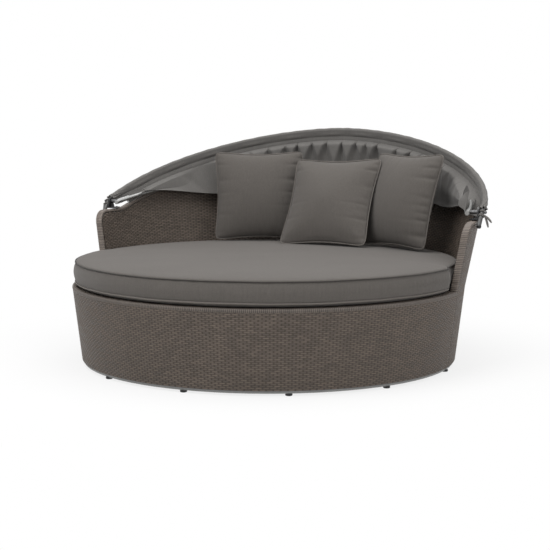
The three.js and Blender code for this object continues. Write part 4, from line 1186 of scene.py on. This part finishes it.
class DAYBED_OT_scatter(DaybedPart):
    """Fills the three scatter cushions and sews their piping"""

    bl_idname = "daybed.scatter"
    bl_label = "Scatter Cushions"

    PITCH = 0.45
    SIZE = 0.458
    THICKNESS = 0.15
    BACK = 0.844333
    FLOOR = 0.4938
    FLAT_HALF = SIZE / 2 * 1.04
    CUT = 1.03
    DIVISIONS = 52
    # Each cushion's name, place along the back in cushions from its middle, turn with the back (a share),
    # lean and roll in degrees, distance from the back, scale and the seed of its creases
    CUSHIONS = (("left", -0.75, 0.81, 11.5, -0.5, 0.047, 0.995, 3),
                ("middle", 0.185, 0.47, 28, -1.6, 0.226, 1.03, 7),
                ("right", 1.025, 0.72, 16, -0.4, 0.059, 1.02, 5))

    def execute(self, context):
        for name, share, turn, lean, roll, forward, scale, seed in self.CUSHIONS:
            place = self.matrix(share, turn, math.radians(lean), math.radians(roll), forward)
            self.cushion(name, place @ Matrix.Scale(scale, 4), seed)
        return {"FINISHED"}

    def matrix(self, share, turn, lean, roll, forward):
        depth = (self.PITCH * math.sin(lean) + self.THICKNESS * math.cos(lean)) / 2
        reach = self.BACK - depth - forward
        angle = share * self.PITCH / reach
        return (Matrix.Translation((reach * math.sin(angle), reach * math.cos(angle), self.FLOOR))
                @ Matrix.Rotation(-angle * turn, 4, "Z") @ Matrix.Rotation(-lean, 4, "X")
                @ Matrix.Rotation(roll, 4, "Y"))

    def blank(self, name, side, seed):
        """One face of the flat cover, a little raised so that it swells to its own side."""
        waves = np.random.default_rng(seed).normal(size=(6, 4))

        def surface(u, v):
            a, b = 2 * u - 1, 2 * v - 1
            full = np.sqrt(np.maximum(0, (1 - a**2) * (1 - b**2)))
            rough = sum(w[0] * np.sin(6 * (i + 1) * a * w[1] + 5 * b * (i + 2) * w[2] + w[3] * 5)
                        for i, w in enumerate(waves)) * 0.0012 * full
            return np.stack([a * self.FLAT_HALF, side * (0.03 * full + rough), b * self.FLAT_HALF], -1)

        return laid(name, self.DIVISIONS, self.DIVISIONS, surface, (self.SIZE, self.SIZE))

    def cushion(self, name, place, seed):
        """Swells a cover that is sewn at its edge, shapes it, and runs the piping round its seam."""
        faces = self.blank(f"{name}_pillow", -1, seed), self.blank("other_face", 1, seed + 1)
        piece = joined(f"{name}_pillow", *faces)
        mesh_edit(piece, merge(1e-4), outwards)
        flat = points_of(piece)
        seam = np.isclose(np.maximum(np.abs(flat[:, 0]), np.abs(flat[:, 2])), self.FLAT_HALF, atol=1e-4)
        half = self.SIZE / 2
        a, b = np.clip(flat[:, 0] / self.FLAT_HALF, -1, 1), np.clip(flat[:, 2] / self.FLAT_HALF, -1, 1)
        full = np.maximum(0, (1 - a**2) * (1 - b**2)) ** 0.56
        points = np.stack([a * (half - 0.017 * (1 - b**2) ** 1.3),
                           np.sign(flat[:, 1]) * self.THICKNESS * 0.45 * full,
                           b * (half - 0.017 * (1 - a**2) ** 1.3)], -1)
        set_points(piece, points)
        points = self.swell(piece, seam, flat * self.CUT)
        points = self.shaped(points, seed)
        edge = points[self.round_the_edge(flat, seam)]
        set_points(piece, points)
        modified(piece, "SUBSURF", levels=1, render_levels=1)
        moved(piece, place)
        smooth(piece, 60)
        self.finished(piece, "cushion_cloth", "grey_fabric", "body", f"{name}_scatter_cushion")
        cord = moved(tube(f"{name}_pillow_piping", edge, self.cushions.piping * 0.9, 8, closed=True), place)
        self.finished(cord, "piping_cloth", "grey_fabric", "body")

    def round_the_edge(self, flat, seam):
        """The seam's points in order round the cushion."""
        found = np.flatnonzero(seam)
        x, z = flat[found, 0], flat[found, 2]
        half = self.FLAT_HALF
        sides = [np.isclose(value, edge, atol=1e-4) for value, edge in ((z, -half), (x, half), (z, half))]
        run = np.select(sides, [x + half, 3 * half + z, 5 * half - x], 7 * half - z)
        return found[np.argsort(run)]

    def swell(self, piece, seam, cut):
        """Blows the cover up with cloth simulation. It is cut larger than its seam, so it puckers there."""
        scene = bpy.context.scene
        only(piece)
        piece.vertex_groups.new(name="Seam").add([int(i) for i in np.flatnonzero(seam)], 1.0, "REPLACE")
        piece.shape_key_add(name="Sewn")
        pattern = piece.shape_key_add(name="Cut")
        pattern.data.foreach_set("co", cut.ravel())
        cloth = piece.modifiers.new("Stuffing", "CLOTH")
        for key, value in {
                "vertex_group_mass": "Seam", "rest_shape_key": pattern, "quality": 5, "mass": 0.25,
                "tension_stiffness": 18, "compression_stiffness": 18, "shear_stiffness": 8,
                "bending_stiffness": 0.3, "use_pressure": True,
                "uniform_pressure_force": self.cushions.pressure}.items():
            setattr(cloth.settings, key, value)
        cloth.settings.effector_weights.gravity = 0
        cloth.collision_settings.use_collision = False
        cloth.point_cache.frame_end = self.cushions.frames
        for step in range(1, self.cushions.frames + 1):
            scene.frame_set(step)
        swollen = points_of(piece.evaluated_get(bpy.context.evaluated_depsgraph_get()))
        piece.modifiers.remove(cloth)
        piece.shape_key_clear()
        piece.vertex_groups.clear()
        scene.frame_set(1)
        return swollen

    def shaped(self, points, seed):
        """Brings the swollen cover to size and adds the puckers along its seams."""
        points = points - (points.max(0) + points.min(0)) / 2
        points = points * ([self.SIZE, self.THICKNESS, self.SIZE] / (points.max(0) - points.min(0)))
        phase = np.random.default_rng(seed + 20).uniform(0, TURN, 6)
        half = self.SIZE / 2
        a, b = points[:, 0] / half, points[:, 2] / half
        side = np.sign(points[:, 1]) * (np.abs(points[:, 1]) > 0.002)
        # The two upright seams pucker more than the two level ones, and most on the right
        for along, across, k, strengths in ((b, a, 0, (0.005, 0.012)), (a, b, 1, (0.0035, 0.0035))):
            for sign, strength in zip((-1, 1), strengths):
                inwards = np.maximum(1 - sign * across, 0)
                reach = 0.16 + 0.16 * np.sin(along * 11 + phase[4]) ** 2
                near = np.exp(-(inwards / reach) ** 1.5) * ease(inwards / 0.05)
                wander = np.sin(along * 14 + phase[k] + 1.4 * np.sin(along * 6 + phase[2 + k]))
                crease = np.exp(-(wander / 0.3) ** 2)
                points[:, 1] -= side * near * strength * crease * (1 - np.abs(along) ** 6)
        blunt = 0.011 * np.abs(np.clip(a * b, -1, 1)) ** 9
        points[:, 0] -= np.sign(a) * blunt
        points[:, 2] -= np.sign(b) * blunt
        points[:, 2] += half
        return points


class DAYBED_OT_canopy(DaybedPart):
    """Hangs the canopy's cloth on its hoops"""

    bl_idname = "daybed.canopy"
    bl_label = "Canopy Cloth"

    DRAPE_UV = (2.4, 0.35)
    REAR_UV = (2.4, 0.25)
    REAR_START = 0.235
    # How far from the pivots the front panel and the middle sleeve start, on the right and on the left
    FRONT_STARTS = (0.03, 0.15)
    MIDDLE_STARTS = (0.215, 0.34)
    # The gathers' number, and the shares of the band between which they lie
    GATHERS = 21
    GATHERED = (0.13, 0.79)
    # The ends of each tie: how far each is bent outwards, and its length
    TIE_ENDS = {1: ((1.0, 0.028), (0.55, 0.05)), -1: ((0.12, 0.05), (-0.1, 0.042))}

    def execute(self, context):
        self.front_sleeve()
        self.middle_sleeve()
        self.front_panel()
        self.rear_panel()
        for side in (1, -1):
            self.tie(side)
        return {"FINISHED"}

    def length_of(self, points):
        return float(np.linalg.norm(np.diff(points, axis=0), axis=1).sum())

    def in_plane(self, arch, turns):
        """Points of an arch and their outward directions, in the hoop's own plane."""
        step = 1e-4
        x, reach = arch(turns)
        x1, reach1 = arch(turns + step)
        x0, reach0 = arch(turns - step)
        along = np.stack([x1 - x0, reach1 - reach0], -1)
        along /= np.linalg.norm(along, axis=1)[:, None]
        return x, reach, along[:, 1], -along[:, 0]

    def band(self, name, arch, turns, incline, profile, steps):
        """Cloth round a hoop. The profile gives (out, rise) from the hoop's middle at each share."""
        columns = len(turns) - 1
        x, reach, out_x, out_y = self.in_plane(arch, turns)

        def surface(u, v):
            i = np.round(u * columns).astype(int)
            out, rise = profile(u, v)
            return in_hoop(x[i] + out_x[i] * out, reach[i] + out_y[i] * out, rise, incline)

        length = self.length_of(np.stack([x, reach], -1))
        return laid(name, columns, steps, surface, (length, 0.2)), length

    def taper(self, turn):
        """The flap narrows towards the left pivot."""
        return 0.3 + 0.7 * ease((math.pi - turn) / 0.32)

    def front_sleeve(self):
        """Pocket round the front hoop, drawn in to a line of stitching, with a doubled flap below it."""
        start = arch_turn(SLEEVE_END)
        turns = np.linspace(start, math.pi - start, 300)
        steps = 44

        def profile(u, v):
            seam_half = 0.0021
            flap_share, side_share = 0.14, 0.16
            ends = np.exp(-np.minimum(u, 1 - u) / 0.02)
            ripple = 0.0008 * np.sin(u * 230) * np.sin(u * 47 + 1) + 0.0014 * np.sin(u * 700) * ends
            mirrored = np.minimum(v, 1 - v)
            sign = np.where(v < 0.5, 1, -1)
            flap = np.clip(1 - mirrored / flap_share, 0, 1)
            slack = np.clip((mirrored - flap_share) / side_share, 0, 1)
            around = np.clip((mirrored - flap_share - side_share) / (0.5 - flap_share - side_share), 0, 1)
            leave = -math.radians(22)
            angle = leave + (math.pi / 2 - leave) * around
            ruffle = 0.006 * ends * np.sin(v * TURN * 9 + u * 300) + 0.004 * ends
            radius = TUBE + 0.0016 + ripple + ruffle
            start_out, start_rise = radius * math.cos(leave), radius * math.sin(leave)
            belly = 0.0022 * np.sin(math.pi * slack) * (1 + 0.6 * np.sin(u * 83 + 2))
            slack_out = seam_half + (start_out - seam_half) * slack + belly
            out = np.where(slack < 1, slack_out, radius * np.cos(angle))
            rise = np.where(slack < 1, -FLAP_SEAM + (start_rise + FLAP_SEAM) * slack, radius * np.sin(angle))
            pucker = 0.0007 * np.sin(u * 620 + 2 * np.sin(u * 90)) * np.exp(-(1 - flap) / 0.4)
            out = np.where(flap > 0, seam_half + pucker + 0.0012 * np.sin(math.pi * flap), out)
            rise = np.where(flap > 0, -FLAP_SEAM - (FLAP - FLAP_SEAM) * flap, rise)
            out = out - 0.0012 * np.exp(-((rise + FLAP_SEAM) / 0.0012) ** 2)
            rise = np.where(rise < 0, rise * self.taper(start + (math.pi - 2 * start) * u), rise)
            return sign * out + np.minimum(0, rise) * HANG, rise

        piece, length = self.band("front_band", front_arch, turns, FRONT_INCLINE, profile, steps)
        mesh_edit(piece, merge(1e-6))
        thickened(piece, SLEEVE_CLOTH, 0.0)
        smooth(piece, 70)
        self.finished(piece, "canopy_cloth", "grey_fabric", "front_hoop", "canopy_front_sleeve")

    def middle_sleeve(self):
        """Plain pocket round the middle hoop. It starts further from the pivot on the left."""
        radius = radius_at(PIVOT_Z, 0.0) - MIDDLE_INSET
        right, left = (math.asin((PIVOT_Y + start) / radius) for start in self.MIDDLE_STARTS)

        def profile(u, v):
            angle = -TURN * v
            radius = SLEEVE - 0.0008 + 0.0006 * np.sin(u * 210) * np.sin(u * 31)
            return radius * np.cos(angle), radius * np.sin(angle)

        piece, length = self.band("middle_sleeve", middle_arch, np.linspace(right, math.pi - left, 220),
                                  MIDDLE_INCLINE, profile, 16)
        mesh_edit(piece, merge(1e-6), outwards)
        thickened(piece, SLEEVE_CLOTH)
        smooth(piece, 70)
        self.finished(piece, "canopy_cloth", "grey_fabric", "middle_hoop", "canopy_middle_sleeve")

    def blended(self, piece, first, second, start, end, shares):
        """Bakes the cloth's place into its mesh; it does not blend the cloth between two bodies. first,
        second, start, end and shares are not used.
        """
        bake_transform(piece)
        return piece

    def share_along(self, piece, length, axis=0):
        """Each point's share of the way along its cloth, or down it (axis 1), from the UV map."""
        loops = np.zeros(len(piece.data.loops), np.int32)
        piece.data.loops.foreach_get("vertex_index", loops)
        uv = np.zeros(2 * len(loops), np.float32)
        piece.data.uv_layers.active.data.foreach_get("uv", uv)
        share = np.zeros(len(piece.data.vertices))
        share[loops] = uv[axis::2] / length
        return np.clip(share, 0, 1)

    def front_panel(self):
        """Slack cloth, gathered where it is sewn under the front band."""
        turn_right, turn_left = arch_turn(self.FRONT_STARTS[0]), math.pi - arch_turn(self.FRONT_STARTS[1])
        gather = self.canopy.gather
        rng = np.random.default_rng(5)
        count = self.GATHERS
        peaks = np.linspace(*self.GATHERED, count) + rng.uniform(-0.009, 0.009, count)
        swell = np.sin(np.linspace(0.25, math.pi - 0.2, count)) * 1.6
        depths = rng.uniform(0.75, 1.1, count) * np.clip(swell, 0, 1)
        depths *= 0.15 + 0.85 * ease((peaks - 0.22) / 0.08)
        widths = rng.uniform(0.0105, 0.016, count)
        droop_radius = float(radius_at(PIVOT_Z, 0.0)) - MIDDLE_INSET
        droop_tilt = math.asin(PIVOT_Y / droop_radius)

        def upper_edge(u, turn):
            """Line under the front band's flap."""
            x, reach, out_x, out_y = self.in_plane(front_arch, turn)
            flap = (FLAP - 0.003) * self.taper(turn)
            under = -flap * HANG
            return in_hoop(x + out_x * under, reach + out_y * under, -flap, FRONT_INCLINE)

        def lower_edge(u, turn):
            """Line along the middle hoop, higher at both ends and sagging beside the right one."""
            along = droop_tilt + (math.pi - 2 * droop_tilt) * turn / math.pi
            height = (PIVOT_Z + SLEEVE + SLEEVE_CLEARANCE + 0.03 * ease((u - 0.8) / 0.18)
                      + 0.1 * ease((0.12 - u) / 0.12) - 0.03 * np.exp(-((u - 0.2) / 0.08) ** 2))
            return np.stack([droop_radius * np.cos(along), droop_radius * np.sin(along), height], -1)

        def fold_depth(u, v):
            """How far the cloth stands in: puffed between the hollows, with broad folds and one crease."""
            hollow = 0 * u
            for peak, deep, width in zip(peaks, depths, widths):
                spread = width * (0.05 + 4.2 * np.clip(v - 0.01, 0, 1))
                hollow = np.maximum(hollow, deep * ease(1 - np.abs(u - peak) / spread))
            puffed = ease((v + 0.01) / 0.09) * (1 - 0.6 * ease((v - 0.45) / 0.5))
            broad = 0.5 - 0.5 * np.cos(TURN * 9 * (u + 0.02 * v * np.sin(TURN * 3 * u)))
            ends = ease(np.minimum(u, 1 - u) / 0.05)
            sag = np.sin(math.pi * np.clip(v, 0, 1)) ** 0.8
            calm = ease((0.83 - u) / 0.09)
            crease = 0.004 * np.exp(-((u - 0.87 + 0.02 * v) / 0.011) ** 2) * sag
            gathered = gather * puffed * (1 - hollow) * (0.06 + 0.94 * calm)
            return ends * (gathered + 0.007 * broad * sag * calm - crease)

        def surface(u, v):
            turn = turn_right + (turn_left - turn_right) * u
            spot = upper_edge(u, turn) * (1 - v)[:, None] + lower_edge(u, turn) * v[:, None]
            plan = np.hypot(spot[:, 0], spot[:, 1])
            wall = radius_at(spot[:, 2], np.arctan2(spot[:, 1], spot[:, 0]))
            clear = wall - MIDDLE_INSET - SLEEVE - SLEEVE_CLEARANCE
            inside = plan + (np.minimum(clear, plan) - plan) * ease(v * 6)
            spot[:, :2] *= (inside / plan)[:, None]
            inward = np.stack([-spot[:, 0], -spot[:, 1], 0 * u], -1)
            inward /= np.linalg.norm(inward, axis=1)[:, None]
            return spot + inward * fold_depth(u, v)[:, None]

        piece = laid("front_drape", 420, 44, surface, self.DRAPE_UV)
        thickened(piece, self.canopy.cloth)
        smooth(piece, 70)
        width = self.length_of(surface(np.linspace(0, 1, 800), 0 * np.linspace(0, 1, 800)))
        drop = self.length_of(surface(0 * np.linspace(0, 1, 80) + 0.5, np.linspace(0, 1, 80)))
        down = self.share_along(piece, self.DRAPE_UV[1], 1)
        self.blended(piece, "middle_hoop", "front_hoop", PIVOT, PIVOT + [0, 0, 0.1], 1 - down)
        self.finished(piece, "canopy_cloth", "grey_fabric", None, "canopy_front_panel")

    def rear_panel(self):
        """Cloth from the fixed rear hoop to the middle hoop, which lies above it near the pivots."""
        start = self.REAR_START
        outer = WALL + EDGE_PROUD + 0.0045

        def surface(u, v):
            place = start + (HALF_ROUND - 2 * start) * u
            _, reach = middle_arch(place / RIM_RADIUS)
            bottom = PIVOT_Z + reach * math.sin(MIDDLE_INCLINE) + SLEEVE + 0.003
            top = edge_line(place) + REAR_HOOP_LIFT
            high = np.maximum(top, bottom) + 0.005
            z = high + (np.minimum(top, bottom) - 0.005 - high) * v
            wave = 0.0016 * np.sin(u * 190 + 3 * v) * np.sin(math.pi * v) * (1 + np.sin(u * 37))
            return wall_point(place, z, outer + 0.001 + wave)

        piece = laid("rear_drape", 300, 26, surface, self.REAR_UV)
        mesh_edit(piece, bpy.ops.mesh.flip_normals)
        thickened(piece, self.canopy.cloth)
        smooth(piece, 70)
        u = np.linspace(0, 1, 600)
        width = self.length_of(surface(u, 0 * u))
        drop = self.length_of(surface(0 * u + 0.5, u))
        along, down = (self.share_along(piece, self.REAR_UV[axis], axis) for axis in (0, 1))
        place = start + (HALF_ROUND - 2 * start) * along
        _, reach = middle_arch(place / RIM_RADIUS)
        above = ease((PIVOT_Z + reach * math.sin(MIDDLE_INCLINE) + SLEEVE - edge_line(place) - 0.008) / 0.016)
        self.blended(piece, "body", "middle_hoop", PIVOT + [0, 0, 0.2], PIVOT, down + (1 - 2 * down) * above)
        self.finished(piece, "canopy_cloth", "grey_fabric", None, "canopy_rear_panel")

    def tie(self, side):
        """Cord knotted round a leg of the front hoop, with its two ends hanging."""
        word = "right" if side > 0 else "left"
        spots = tail(side, np.array([0.02, 0.021]))
        centre, along = spots[0], spots[0] - spots[1]
        along /= np.linalg.norm(along)
        out = np.array([side, 0.0, 0.0])
        up = np.cross(out, along)
        up *= np.sign(up[2])
        turns = np.linspace(0, TURN, 40, endpoint=False)
        radius = TUBE + 0.0022
        ring = centre + radius * (np.cos(turns)[:, None] * out + np.sin(turns)[:, None] * up)
        pieces = [tube("ring", ring + along * shift, 0.0017, 8, closed=True)
                  for shift in (-0.0035, 0.0, 0.0035, 0.02, 0.0235)]
        knot_profile = [(0.0018, -0.0062), (0.0052, -0.0045), (0.0066, 0), (0.0052, 0.0045), (0.0018, 0.0062)]
        spot = centre + out * (radius + 0.0025)
        pieces.append(moved(lathe("knot", knot_profile, 16), Matrix.Translation(spot)))
        for bend, length in self.TIE_ENDS[side]:
            t = np.linspace(0, 1, 14)[:, None]
            away = np.array([out[0], -0.35, 0])
            path = spot + away * (0.036 * bend * t) - [0, 0, 1.0] * (length * t**1.6)
            width = np.interp(t[:, 0], [0, 0.2, 0.8, 1], [0.003, 0.0048, 0.0052, 0.0028])
            pieces.append(tube("end", path, width, 8))
        self.finished(joined(f"{word}_tie", *pieces), "canopy_cloth", "grey_fabric", "front_hoop",
                      f"{word}_canopy_tie")


class DAYBED_PT_sidebar(bpy.types.Panel):
    """Lists the daybed's operators and settings"""

    bl_idname = "DAYBED_PT_sidebar"
    bl_label = "Woven Daybed"
    bl_space_type = "VIEW_3D"
    bl_region_type = "UI"
    bl_category = "Daybed"

    def draw(self, context):
        for group in (context.scene.daybed_weave, context.scene.daybed_cushions, context.scene.daybed_canopy,
                      context.scene.daybed_look):
            for key in group.__annotations__:
                self.layout.prop(group, key)
        for step in STEPS:
            self.layout.operator(step.bl_idname)


STEPS = (DAYBED_OT_stage, DAYBED_OT_weave, DAYBED_OT_trims, DAYBED_OT_frame, DAYBED_OT_hoops, DAYBED_OT_seat,
         DAYBED_OT_scatter, DAYBED_OT_canopy)
GROUPS = {"daybed_weave": DaybedWeave, "daybed_cushions": DaybedCushions, "daybed_canopy": DaybedCanopy,
          "daybed_look": DaybedLook}


def register():
    for kind in (*GROUPS.values(), *STEPS, DAYBED_PT_sidebar):
        bpy.utils.register_class(kind)
    for name, kind in GROUPS.items():
        setattr(bpy.types.Scene, name, PointerProperty(type=kind))


def unregister():
    for name in GROUPS:
        delattr(bpy.types.Scene, name)
    for kind in reversed((*GROUPS.values(), *STEPS, DAYBED_PT_sidebar)):
        bpy.utils.unregister_class(kind)


def main():
    register()
    for step in STEPS:
        name = step.bl_idname.split(".")[1]
        getattr(bpy.ops.daybed, name)()
    deselect()


if __name__ == "__main__":
    main()
